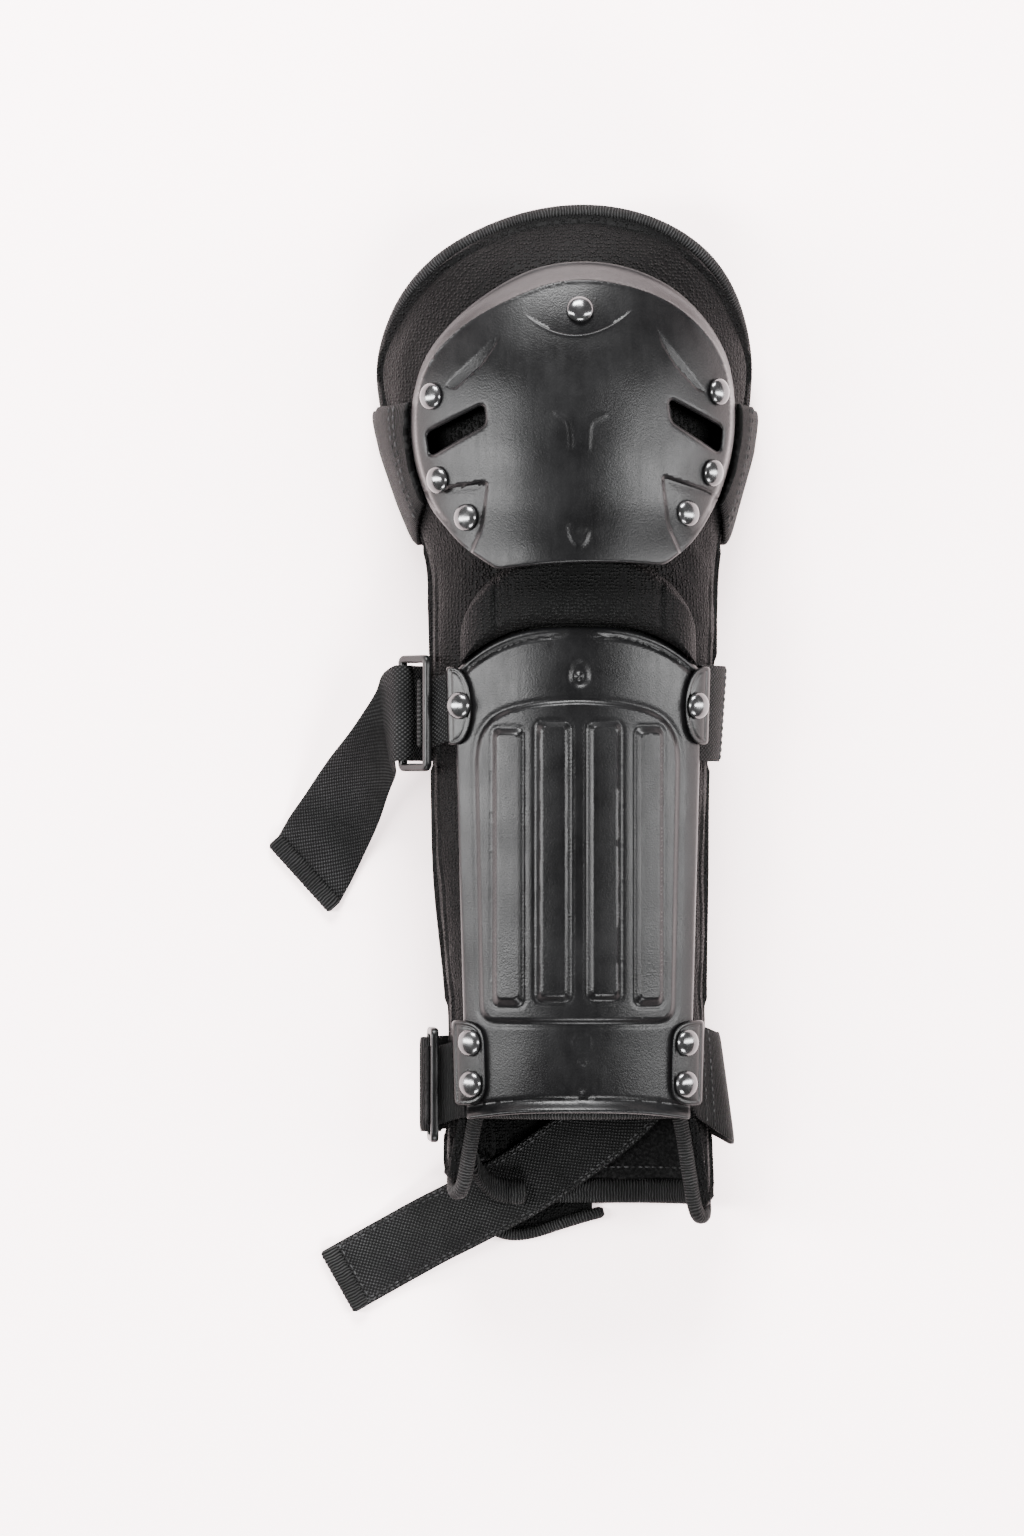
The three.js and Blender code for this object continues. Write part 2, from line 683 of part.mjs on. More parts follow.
function panelAngle(y, side) {
  const along = (y - PANEL_BOTTOM) / (PANEL_TOP - PANEL_BOTTOM);
  return side * degToRad(lerp(PANEL_TURN_WRIST, PANEL_TURN_TOP, clamp(along, 0, 1)));
}

// Columns: the angle at a station, and how much of the panel's and the ribs' rise it has
function shellColumns() {
  const radius = FOREARM_WIDTH / 2 + shellOuter;
  const step = STEP_WIDTH / radius;
  const columns = [];
  [-1, 1].forEach((side) => {
    columns.push({ angle: (y) => shellEdgeAngle(y, side), panel: 0, rib: 0 });
    const wallAngle = (y) => lerp(shellEdgeAngle(y, side), panelAngle(y, side), 0.55);
    columns.push({ angle: wallAngle, panel: 0, rib: 0 });
    columns.push({ angle: (y) => panelAngle(y, side) + side * step, panel: 0, rib: 0 });
    columns.push({ angle: (y) => panelAngle(y, side), panel: 1, rib: 0 });
  });
  for (let k = 0; k < RIB_COUNT; k += 1) {
    const middle = ((k - (RIB_COUNT - 1) / 2) * RIB_PITCH) / radius;
    const half = RIB_WIDTH / 2 / radius;
    columns.push({ angle: () => middle - half - step, panel: 1, rib: 0 });
    columns.push({ angle: () => middle - half, panel: 1, rib: 1 });
    columns.push({ angle: () => middle + half, panel: 1, rib: 1 });
    columns.push({ angle: () => middle + half + step, panel: 1, rib: 0 });
  }
  return columns.sort((a, b) => a.angle(0) - b.angle(0));
}

// Rows: the station at the centre line, how far it arches down at the sides, and its rises
const SHELL_ROWS = [
  { y: SHELL_BOTTOM, arch: SHELL_BOTTOM_ARCH, panel: 0, rib: 0, flare: 1, sides: 1 },
  { y: SHELL_BOTTOM + 2.2, arch: SHELL_BOTTOM_ARCH, panel: 0, rib: 0, flare: 0.75, sides: 1 },
  { y: SHELL_BOTTOM + 4, arch: SHELL_BOTTOM_ARCH, panel: 0, rib: 0, flare: 0.05, sides: 1 },
  { y: lerp(SHELL_BOTTOM, PANEL_BOTTOM, 0.55), arch: 2, panel: 0, rib: 0, flare: 0, sides: 0 },
  { y: PANEL_BOTTOM - STEP_WIDTH, arch: 0.8, panel: 0, rib: 0, flare: 0, sides: 0 },
  { y: PANEL_BOTTOM, arch: 0.8, panel: 1, rib: 0, flare: 0, sides: 0 },
  { y: RIB_BOTTOM - STEP_WIDTH, arch: 0, panel: 1, rib: 0, flare: 0, sides: 0 },
  { y: RIB_BOTTOM, arch: 0, panel: 1, rib: 1, flare: 0, sides: 0 },
  { y: lerp(RIB_BOTTOM, RIB_TOP, 0.33), arch: 0, panel: 1, rib: 1, flare: 0, sides: 0 },
  { y: lerp(RIB_BOTTOM, RIB_TOP, 0.67), arch: 1, panel: 1, rib: 1, flare: 0, sides: 0 },
  { y: RIB_TOP, arch: RIB_ARCH, panel: 1, rib: 1, flare: 0, sides: 0 },
  { y: RIB_TOP + STEP_WIDTH, arch: RIB_ARCH, panel: 1, rib: 0, flare: 0, sides: 0 },
  { y: PANEL_TOP, arch: PANEL_ARCH, panel: 1, rib: 0, flare: 0, sides: 0 },
  { y: PANEL_TOP + STEP_WIDTH, arch: PANEL_ARCH, panel: 0, rib: 0, flare: 0, sides: 0 },
  { y: lerp(PANEL_TOP, SHELL_TOP, 0.5), arch: 0.6 * SHELL_TOP_ARCH, panel: 0, rib: 0, flare: 0, sides: 0 },
  { y: SHELL_TOP - 3.5, arch: SHELL_TOP_ARCH, panel: 0, rib: 0, flare: 0, sides: 0 },
  { y: SHELL_TOP, arch: SHELL_TOP_ARCH, panel: 0, rib: 0, flare: 0.3, sides: 0 },
];

function shellPoint(row, column, depth) {
  const turned = column.angle(row.y);
  const share = Math.sin(turned) / Math.sin(shellEdgeAngle(row.y, Math.sign(turned)));
  const y = row.y + arch(share, row.arch);
  const flare = row.flare * lerp(1, row.sides, share * share);
  const raised = PANEL_RISE * row.panel * column.panel + RIB_RISE * row.rib * column.rib;
  return outside(y, column.angle(y), shellOuter + raised + SHELL_FLARE * flare - depth).point;
}

addPiece(
  'forearm_shell',
  wallGeometry(
    grid(SHELL_ROWS, shellColumns(), (row, column) => shellPoint(row, column, 0)),
    grid(SHELL_ROWS, shellColumns(), (row, column) => shellPoint(row, column, SHELL_WALL)),
  ),
  shellFinish,
);

// Rivets

function placeOn(geometry, seat) {
  const turn = new THREE.Quaternion().setFromUnitVectors(new THREE.Vector3(0, 1, 0), seat.normal);
  return geometry.applyQuaternion(turn).translate(...seat.point.toArray());
}

function rivetGeometry(seat) {
  const dome = steps(3).map((t) => new THREE.Vector2(
    (RIVET_WIDTH / 2) * Math.cos((t * Math.PI) / 2),
    RIVET_HEIGHT * (0.25 + 0.75 * Math.sin((t * Math.PI) / 2)),
  ));
  dome[3].x = 0;
  const profile = [new THREE.Vector2(0, 0), new THREE.Vector2(0.44 * RIVET_WIDTH, 0), ...dome];
  return weld(placeOn(new THREE.LatheGeometry(profile, 10), seat));
}

// Seat at a place seen from the front, turned to the local slope of a surface
function seatOn(x, y, rise, clear) {
  const reach = 2.5;
  const at = (dx, dy) => facing(x + dx, y + dy, rise(x + dx, y + dy)).point;
  const across = at(reach, 0).sub(at(-reach, 0));
  const along = at(0, reach).sub(at(0, -reach));
  const normal = across.cross(along).normalize();
  return { point: at(0, 0).addScaledVector(normal, clear), normal };
}

// Rivets of the cap, as shares from its middle, and how deep each is set
const CAP_RIVETS = [
  { x: 0.034, y: 0.66, sunk: 0 },
  { x: -0.868, y: 0.12, sunk: 0 },
  { x: -0.828, y: -0.414, sunk: 0 },
  { x: -0.655, y: -0.66, sunk: 1 },
  { x: 0.883, y: 0.155, sunk: 0 },
  { x: 0.846, y: -0.366, sunk: 0 },
  { x: 0.69, y: -0.63, sunk: 1.4 },
];
const RIVET_CLEAR = 0.5;
CAP_RIVETS.forEach((row, i) => {
  const place = capPlan(row.x, row.y);
  const rise = (x, y) => capRise(x, y) - CAP_POCKET_DEPTH * row.sunk;
  addPiece(`cap_rivet_${i + 1}`, rivetGeometry(seatOn(place.x, place.y, rise, RIVET_CLEAR)), rivetFinish);
});

// Tabs and plates on the shell's side edges

const UPPER_OVERHANG = 3;
const LOWER_OVERHANG = 4.4;
const tabInner = shellOuter + SEAT_GAP;
const tabOuter = tabInner + TAB_WALL;

function tabGeometry(side, middleY, length, depth, overhang, square) {
  const outer = (y) => side * (shellHalfWidth(y) + overhang);
  const reach = (v) => depth * (0.3 + 0.7 * (1 - Math.abs(2 * v - 1) ** square) ** 0.5);
  const rows = steps(8).map((t) => 0.5 - 0.5 * Math.cos(t * Math.PI));
  const place = (v, u, distance) => {
    const y = middleY + (v - 0.5) * length;
    return facing(outer(y) - side * reach(v) * (1 - u), y, distance).point;
  };
  return wallGeometry(
    grid(rows, steps(3), (v, u) => place(v, u, tabOuter)),
    grid(rows, steps(3), (v, u) => place(v, u, tabInner)),
  );
}

const UPPER_TAB_Y = 0.018 * ELBOW_REACH;
const PLATE_INSET = 2;
const LOWER_PLATE_Y = SHELL_BOTTOM + PLATE_INSET + LOWER_PLATE_LENGTH / 2;
const PLATE_RIVET_PITCH = 15.2;
[['left', -1], ['right', 1]].forEach(([name, side], k) => {
  addPiece(
    `tab_upper_${name}`,
    tabGeometry(side, UPPER_TAB_Y, UPPER_TAB_LENGTH, UPPER_TAB_DEPTH, UPPER_OVERHANG, 2),
    tabFinish,
  );
  addPiece(
    `plate_lower_${name}`,
    tabGeometry(side, LOWER_PLATE_Y, LOWER_PLATE_LENGTH, LOWER_PLATE_DEPTH, LOWER_OVERHANG, 6),
    tabFinish,
  );
  const tabX = side * (shellHalfWidth(UPPER_TAB_Y) + UPPER_OVERHANG - 0.52 * UPPER_TAB_DEPTH);
  const onTab = () => tabOuter;
  addPiece(`tab_rivet_${name}`, rivetGeometry(seatOn(tabX, UPPER_TAB_Y, onTab, GAP)), rivetFinish);
  [1, -1].forEach((end, i) => {
    const y = LOWER_PLATE_Y + (end * PLATE_RIVET_PITCH) / 2;
    const x = side * (shellHalfWidth(y) + LOWER_OVERHANG - 0.56 * LOWER_PLATE_DEPTH);
    const rivet = rivetGeometry(seatOn(x, y, onTab, GAP));
    addPiece(`plate_rivet_${2 * k + i + 1}`, rivet, rivetFinish);
  });
});

// Buckles: rectangular loops, one long bar held by the tab's loop, the other by the strap

const BAR_CLEAR = 0.71 * BUCKLE_BAR + GAP + STRAP_WALL / 2;
const strapSeat = SEAT_GAP + STRAP_WALL / 2;
const strapBack = GAP + STRAP_WALL / 2;
const floorSeat = STRAP_WALL / 2;

// How far round a tab's free edge lies on the padded body
function tabEdgeAngle(y, side, overhang) {
  return facing(side * (shellHalfWidth(y) + overhang), y, tabOuter).angle;
}

// past: degrees round from the tab's edge; distance: out from the padded body
function buckleBars(y, edge, inner, outer) {
  return {
    y,
    inner: outside(y, edge - degToRad(inner.past), inner.distance).point,
    outer: outside(y, edge - degToRad(outer.past), outer.distance).point,
  };
}

function buckleGeometry(bars, strapWidth) {
  const slot = strapWidth + 2 * BUCKLE_PLAY;
  const across = bars.inner.clone().sub(bars.outer);
  const span = across.length();
  const frame = (width, height) => roundedOutline([
    new THREE.Vector2(-width / 2, -height / 2),
    new THREE.Vector2(width / 2, -height / 2),
    new THREE.Vector2(width / 2, height / 2),
    new THREE.Vector2(-width / 2, height / 2),
  ], Math.min(BUCKLE_BAR * 0.4, width / 4));
  const shape = new THREE.Shape(frame(span + BUCKLE_BAR, slot + 2 * BUCKLE_BAR));
  shape.holes.push(new THREE.Path(frame(span - BUCKLE_BAR, slot)));
  const geometry = new THREE.ExtrudeGeometry(shape, { depth: BUCKLE_BAR, bevelEnabled: false });
  geometry.translate(0, 0, -BUCKLE_BAR / 2);
  const xAxis = across.normalize();
  const yAxis = new THREE.Vector3(0, 1, 0);
  geometry.applyMatrix4(new THREE.Matrix4().makeBasis(xAxis, yAxis, xAxis.clone().cross(yAxis)));
  const middle = bars.inner.clone().add(bars.outer).multiplyScalar(0.5);
  return weld(geometry.translate(...middle.toArray()));
}

// Point round a bar, turned in degrees from the side facing the arm, over the top
function roundBar(bar, y, turned, extra = 0) {
  const a = degToRad(turned);
  const reach = BAR_CLEAR + extra;
  return new THREE.Vector3(bar.x + reach * Math.cos(a), y, bar.z + reach * Math.sin(a));
}

const MID_Y = 0.004 * ELBOW_REACH;
const LOWER_Y = LOWER_PLATE_Y - LOWER_STRAP_WIDTH / 4;
const midBars = buckleBars(
  MID_Y,
  tabEdgeAngle(MID_Y, -1, UPPER_OVERHANG),
  { past: 9.6, distance: 7.6 },
  { past: 26.6, distance: 11.5 },
);
const lowerBars = buckleBars(
  LOWER_Y,
  tabEdgeAngle(LOWER_Y, -1, LOWER_OVERHANG),
  { past: 12.3, distance: 7.6 },
  { past: 26.3, distance: 6.4 },
);
addPiece('mid_buckle', buckleGeometry(midBars, MID_STRAP_WIDTH), tabFinish);
addPiece('lower_buckle', buckleGeometry(lowerBars, LOWER_STRAP_WIDTH), tabFinish);

// Bands whose rows each hold a middle station, a half width and a way to place a point
function strapGeometry(rows, columns) {
  return bandGeometry(grid(rows, columns, (row, u) => row.at(row.y + u * row.half)), STRAP_WALL);
}

const STRAP_COLUMNS = [-1, 0, 1];
const TUCK = 0.03;

function tabLoopRows(bars, half, middle) {
  const start = (y) => shellEdgeAngle(y, -1) - TUCK;
  return [
    { y: middle, half, at: (y) => outside(y, start(y), strapSeat).point },
    { y: middle, half, at: (y) => outside(y, start(y) - TUCK, strapSeat).point },
    ...[295, 265, 235, 205].map((a) => ({ y: bars.y, half, at: (y) => roundBar(bars.inner, y, a) })),
  ];
}

const midLoopHalf = 0.43 * UPPER_TAB_LENGTH;
const lowerLoopHalf = 0.46 * LOWER_PLATE_LENGTH;
const LOWER_LOOP_RAISE = 3;
const midLoop = tabLoopRows(midBars, midLoopHalf, UPPER_TAB_Y);
const lowerLoop = tabLoopRows(lowerBars, lowerLoopHalf, LOWER_Y + LOWER_LOOP_RAISE);
addPiece('mid_tab_loop', strapGeometry(midLoop, STRAP_COLUMNS), strapFinish);
addPiece('lower_tab_loop', strapGeometry(lowerLoop, STRAP_COLUMNS), strapFinish);

// Middle strap: from under the right tab, round the back, over the outer bar, down to its free end

// Beside the right tab a row's turn is a share of the way from the tab's edge to SIDE_TURN.
// turn: degrees round from the front; share: how much of the side bulge it has
const SIDE_TURN = 110;
const sideTurn = (edge, past) => lerp(radToDeg(edge), SIDE_TURN, past);
const midEdge = tabEdgeAngle(MID_Y, 1, UPPER_OVERHANG);
const MID_ROUND = [
  { turn: sideTurn(midEdge, 0), share: 0 },
  { turn: sideTurn(midEdge, 0.2), share: 0.55 },
  { turn: sideTurn(midEdge, 0.44), share: 1 },
  { turn: sideTurn(midEdge, 0.7), share: 1 },
  { turn: SIDE_TURN, share: 0.6 },
  { turn: 124, share: 0.2 },
  { turn: 138, share: 0.1 },
  { turn: 148, share: 0 },
  { turn: 157, share: 0 },
  { turn: 180, share: 0 },
  { turn: 203, share: 0 },
  { turn: 212, share: 0 },
  { turn: 222, share: 0.1 },
  { turn: 236, share: 0.2 },
  { turn: 247, share: 0.4 },
];
const MID_BULGE = 2.6;

// Free end, as shares: ahead and down of MID_TAIL_REACH from the outer bar, wide and lean of
// the strap's width, height of the bar's height; turn is the direction across it in degrees
const MID_TAIL = [
  { ahead: 0.035, down: 0.04, wide: 0.96, turn: -84, lean: 0, height: 0.9 },
  { ahead: 0.05, down: 0.11, wide: 0.86, turn: -76, lean: 0.08, height: 0.76 },
  { ahead: 0.13, down: 0.26, wide: 0.78, turn: -62, lean: 0.16, height: 0.56 },
  { ahead: 0.235, down: 0.44, wide: 0.84, turn: -50, lean: 0.12, height: 0.3 },
  { ahead: 0.35, down: 0.64, wide: 0.9, turn: -46, lean: 0.05, height: 0.115 },
  { ahead: 0.42, down: 0.76, wide: 0.95, turn: -47, lean: 0.01, height: 0.05 },
  { ahead: 0.485, down: 0.875, wide: 0.96, turn: -48, lean: 0, height: 0.035 },
];

// A strap lies flat under the padded back, and stands a little off its rounded sides
const FLAT_TURN = 24;
const strapRest = (turn) => (Math.abs(turn - 180) < FLAT_TURN ? strapBack : strapSeat);

function strapRound(rows, bulge) {
  return rows.map((row) => ({
    ...row,
    at: (y) => outside(y, degToRad(row.turn), strapRest(row.turn) + bulge(y) * row.share).point,
  }));
}

function tailRow(row) {
  const bar = midBars.outer;
  const centre = new THREE.Vector3(
    bar.x - BAR_CLEAR - row.ahead * MID_TAIL_REACH,
    MID_Y - row.down * MID_TAIL_REACH,
    Math.max(row.height * bar.z, floorSeat + GAP),
  );
  const turned = degToRad(row.turn);
  const half = (row.wide * MID_STRAP_WIDTH) / 2;
  const lean = -row.lean * MID_STRAP_WIDTH;
  const side = new THREE.Vector3(Math.cos(turned) * half, Math.sin(turned) * half, lean);
  return STRAP_COLUMNS.map((u) => centre.clone().addScaledVector(side, -u));
}

const midHalf = MID_STRAP_WIDTH / 2;
const midRows = [
  { y: MID_Y, half: midHalf, at: (y) => outside(y, shellEdgeAngle(y, 1) + TUCK, strapSeat).point },
  ...strapRound(MID_ROUND.map((row) => ({ ...row, y: MID_Y, half: midHalf })), () => MID_BULGE),
  { y: MID_Y, half: midHalf, at: (y) => roundBar(midBars.outer, y, -75, 1.2) },
  ...[-30, 0, 35, 70, 105, 140].map((a) => (
    { y: MID_Y, half: midHalf, at: (y) => roundBar(midBars.outer, y, a) })),
];
addPiece('mid_strap', bandGeometry([
  ...grid(midRows, STRAP_COLUMNS, (row, u) => row.at(row.y + u * row.half)),
  ...MID_TAIL.map(tailRow),
], STRAP_WALL), strapFinish);

// Sewn fold across a free end, beyond the strap's last row of points
function strapEndGeometry(last, previous) {
  const n = last.length - 1;
  const across = last[n].clone().sub(last[0]);
  const width = across.length();
  const ahead = last[1].clone().sub(previous[1]);
  const up = across.clone().cross(ahead).normalize();
  const wide = across.normalize();
  const high = up.z < 0 ? up.negate() : up;
  const out = wide.clone().cross(high).normalize();
  if (out.dot(ahead) < 0) out.negate();
  const middle = last[0].clone().lerp(last[n], 0.5)
    .addScaledVector(out, GAP + STRAP_END_LENGTH / 2)
    .addScaledVector(high, Math.max(0, (STRAP_END_THICKNESS - STRAP_WALL) / 2 - GAP / 2));
  const half = width / 2;
  const rows = [-1, 1].map((k) => ({
    point: middle.clone().addScaledVector(wide, k * half), wide: out, high,
  }));
  return rollGeometry(rows, STRAP_END_LENGTH, STRAP_END_THICKNESS, 10, false);
}

addPiece('mid_strap_end', strapEndGeometry(...MID_TAIL.slice(-2).reverse().map(tailRow)), bindingFinish);

// Lower strap: from under the right plate, round the back, over the outer bar and back under

const lowerEdge = tabEdgeAngle(LOWER_Y, 1, LOWER_OVERHANG);
const LOWER_ROUND = [
  { turn: sideTurn(lowerEdge, 0), share: 0, shift: 0.17, widen: 0.97 },
  { turn: sideTurn(lowerEdge, 0.19), share: 0.25, shift: 0.1, widen: 1.05 },
  { turn: sideTurn(lowerEdge, 0.43), share: 1, shift: -0.02, widen: 1.15 },
  { turn: sideTurn(lowerEdge, 0.74), share: 1, shift: -0.06, widen: 1.2 },
  { turn: SIDE_TURN, share: 0.6, shift: -0.03, widen: 1.1 },
  { turn: 124, share: 0.2, shift: 0, widen: 1 },
  { turn: 138, share: 0.05, shift: 0, widen: 1 },
  { turn: 148, share: 0, shift: 0, widen: 1 },
  { turn: 157, share: 0, shift: 0, widen: 1 },
  { turn: 180, share: 0, shift: 0, widen: 1 },
  { turn: 203, share: 0, shift: 0, widen: 1 },
  { turn: 212, share: 0, shift: 0, widen: 1 },
  { turn: 224, share: 0.05, shift: 0, widen: 1 },
  { turn: 240, share: 0.2, shift: 0, widen: 1 },
];
const LOWER_BULGE = 5;
const lowerHalf = LOWER_STRAP_WIDTH / 2;
const lowerSpan = (row) => ({
  ...row, y: LOWER_Y + row.shift * LOWER_STRAP_WIDTH, half: row.widen * lowerHalf,
});
const lowerBulge = (y) => LOWER_BULGE * (1 - 0.3 * ((y - LOWER_Y) / lowerHalf));
const lowerRows = [
  {
    y: LOWER_Y + 0.24 * LOWER_STRAP_WIDTH,
    half: 0.88 * lowerHalf,
    at: (y) => outside(y, shellEdgeAngle(y, 1) + TUCK, strapSeat).point,
  },
  ...strapRound(LOWER_ROUND.map(lowerSpan), lowerBulge),
  ...[215, 180, 145, 110, 75, 40, 5, -30].map((a) => (
    { y: LOWER_Y, half: lowerHalf, at: (y) => roundBar(lowerBars.outer, y, a) })),
];
addPiece('lower_strap', strapGeometry(lowerRows, STRAP_COLUMNS), strapFinish);

// Elbow strap: out from beside the cap's rim, round the pad's edges and flat across the back

const ELBOW_STRAP_Y = 0.48 * ELBOW_REACH;

function capSide(y, side) {
  let reach = 0;
  capRim.forEach((a, i) => {
    const b = capRim[(i + 1) % capRim.length];
    if ((a.y - y) * (b.y - y) > 0) return;
    const x = lerp(a.x, b.x, (y - a.y) / (b.y - a.y || 1));
    reach = Math.max(reach, side * x);
  });
  return side * reach;
}

// raise: the station's rise on ELBOW_STRAP_Y; narrow: share of the strap's width
const ELBOW_SIDE = [
  { kind: 'rim', raise: 0.16, narrow: 0.74 },
  { kind: 'between', raise: 0.09, narrow: 0.86 },
  { kind: 'edge', past: 0, raise: 0.02, narrow: 1 },
  { kind: 'edge', past: 3.4, raise: 0, narrow: 1 },
  { kind: 'edge', past: 6.6, raise: 0, narrow: 1 },
  { kind: 'fall', out: 0.4, drop: 0.45, raise: 0, narrow: 1 },
  { kind: 'fall', out: -0.6, drop: 0.85, raise: 0, narrow: 1 },
  { kind: 'fall', out: -4, drop: 1, raise: 0, narrow: 1 },
];

function elbowStrapPoint(row, y, side) {
  const edge = section(y).edge;
  const radius = section(y).right;
  const start = Math.abs(facing(capSide(y, side) + side * RIM_GAP, y, strapSeat).angle);
  if (row.kind === 'rim') return outside(y, side * start, strapSeat).point;
  if (row.kind === 'between') return outside(y, (side * (start + edge)) / 2, strapSeat + GAP).point;
  if (row.kind === 'edge') return outside(y, side * (edge + row.past / radius), strapSeat).point;
  const top = elbowStrapPoint({ kind: 'edge', past: 6.6 }, y, side);
  return new THREE.Vector3(top.x + side * row.out, y, lerp(top.z, floorSeat, row.drop));
}

const elbowHalf = ELBOW_STRAP_WIDTH / 2;
const elbowRow = (row, side) => {
  const y = ELBOW_STRAP_Y + row.raise * ELBOW_STRAP_WIDTH;
  return [-1, -0.35, 0.35, 1].map((u) => elbowStrapPoint(row, y + u * row.narrow * elbowHalf, side));
};
addPiece('elbow_strap', bandGeometry([
  ...ELBOW_SIDE.map((row) => elbowRow(row, 1)),
  ...ELBOW_SIDE.toReversed().map((row) => elbowRow(row, -1)),
], STRAP_WALL), strapFinish);

// Wrist strap: lies on the rear wrap inside the wrist opening and runs out over its hem

// ahead, down: shares of WRIST_STRAP_REACH; height: rise above the surface, in strap walls
const WRIST_STRAP_START = new THREE.Vector2(
  0.26 * FOREARM_WIDTH,
  -WRIST_REACH + 0.343 * WRIST_STRAP_REACH,
);
const hemTop = REST + WRAP_WALL / 2 + HEM_THICKNESS / 2;
const WRIST_STRAP = [
  { ahead: 0, down: 0, rise: 0.5 },
  { ahead: 0.1, down: 0.1, rise: 0.5 },
  { ahead: 0.237, down: 0.204, rise: 0.97 },
  { ahead: 0.344, down: 0.277, rise: 1.03 },
  { ahead: 0.43, down: 0.325, rise: 1.03 },
  { ahead: 0.517, down: 0.372, rise: 0.84 },
  { ahead: 0.61, down: 0.42, rise: 0.52 },
  { ahead: 0.72, down: 0.482, rise: 0.2 },
  { ahead: 0.841, down: 0.55, rise: 0.06 },
];

// Height of a strap lying on the inner face of the rear wrap
function onWrap(x, y) {
  const s = section(y);
  const share = Math.min(Math.abs(x) / (x < s.shift ? s.left : s.right), 1);
  const angle = Math.PI - Math.sign(x) * Math.asin(share ** (1 / BACK_SQUARE));
  return outside(y, angle, -(WRAP_WALL + SEAT_GAP + STRAP_WALL)).point.z;
}

function wristStrapRow(row, i, rows) {
  const place = (r) => new THREE.Vector3(
    WRIST_STRAP_START.x - r.ahead * WRIST_STRAP_REACH,
    WRIST_STRAP_START.y - r.down * WRIST_STRAP_REACH,
    Math.max(floorSeat + GAP, r.rise * (hemTop + GAP + STRAP_WALL / 2)),
  );
  const centre = place(row);
  const ahead = place(rows[Math.min(i + 1, rows.length - 1)]).sub(place(rows[Math.max(i - 1, 0)]));
  const side = new THREE.Vector3(-ahead.y, ahead.x, 0).setLength(WRIST_STRAP_WIDTH / 2);
  return STRAP_COLUMNS.map((u) => {
    const point = centre.clone().addScaledVector(side, u);
    return point.y > WRAP_END ? point.setZ(Math.max(point.z, onWrap(point.x, point.y))) : point;
  });
}

const wristRows = WRIST_STRAP.map(wristStrapRow);
addPiece('wrist_strap', bandGeometry(wristRows, STRAP_WALL), strapFinish);
addPiece('wrist_strap_end', strapEndGeometry(wristRows.at(-1), wristRows.at(-2)), bindingFinish);

// Left stretch of the hem, over the wrist strap
const hemLift = hemTop + 3.5 * GAP + STRAP_WALL + HEM_THICKNESS / 2 - (REST + WRAP_WALL / 2);
const HEM_LEFT_CLIMB = 13;
const leftHem = steps(12).map((t) => {
  const angle = lerp(backShareAngle(-HEM_SPLIT), degToRad(HEM_SIDE_TURN + 9), t);
  const at = outside(HEM_LINE + HEM_LEFT_CLIMB * t ** 2.2, -angle, -WRAP_WALL / 2);
  const point = at.point.addScaledVector(at.normal, -lerp(hemLift, 0.72 * hemLift, t));
  return { point, wide: new THREE.Vector3(0, 1, 0), high: at.normal };
});
addPiece(
  'wrap_hem_left',
  rollGeometry(leftHem, HEM_WIDTH - 2 * GAP, HEM_THICKNESS, 8, false),
  bindingFinish,
);

// Under flap: the end of a second layer, showing below the hem
const FLAP_WALL = 2.5;
const FLAP_ROLL = 4.4;
const FLAP_TOP = HEM_LINE - HEM_WIDTH / 2 + GAP;

// Middle line of its roll: across as share of FOREARM_WIDTH, out as share of HEM_WIDTH
const FLAP_LINE = [
  { across: -0.365, out: 0.12 },
  { across: -0.345, out: 0.5 },
  { across: -0.3, out: 0.83 },
  { across: -0.24, out: 0.98 },
  { across: -0.165, out: 0.9 },
  { across: -0.07, out: 0.6 },
  { across: 0.02, out: 0.32 },
  { across: 0.1, out: 0.1 },
];
const flapStations = FLAP_LINE.map((row) => new THREE.Vector3(
  row.across * FOREARM_WIDTH,
  FLAP_TOP - FLAP_ROLL / 2 - row.out * HEM_WIDTH,
  FLAP_ROLL / 2 + GAP,
)).map((point, i, all) => {
  const along = all[Math.min(i + 1, all.length - 1)].clone().sub(all[Math.max(i - 1, 0)]);
  const wide = new THREE.Vector3(along.y, -along.x, 0).normalize();
  return { point, wide, high: new THREE.Vector3(0, 0, 1) };
});
addPiece('under_flap_binding', rollGeometry(flapStations, FLAP_ROLL, FLAP_ROLL, 8, false), bindingFinish);
const flapInner = flapStations.slice(1, -1);
const flapEdge = (z) => flapInner.map((s) => s.point.clone()
  .addScaledVector(s.wide, -(FLAP_ROLL / 2 + EDGE_GAP)).setZ(z));
const flapTopLine = (z) => flapInner.map((s) => new THREE.Vector3(s.point.x, FLAP_TOP, z));
const flapGrid = (z) => [flapEdge(z), flapTopLine(z)];
addPiece('under_flap', wallGeometry(flapGrid(GAP + FLAP_WALL), flapGrid(GAP)), padFinish);

export default guard;
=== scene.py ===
"""Elbow and forearm guard lying on its back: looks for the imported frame.

Sizes are in millimetres, the part's own frame: +Z up, +Y towards the elbow, and x and y are
where a place is seen from the front. piece() turns them into metres."""

import math

import bpy
import numpy as np
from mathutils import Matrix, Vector, geometry, kdtree


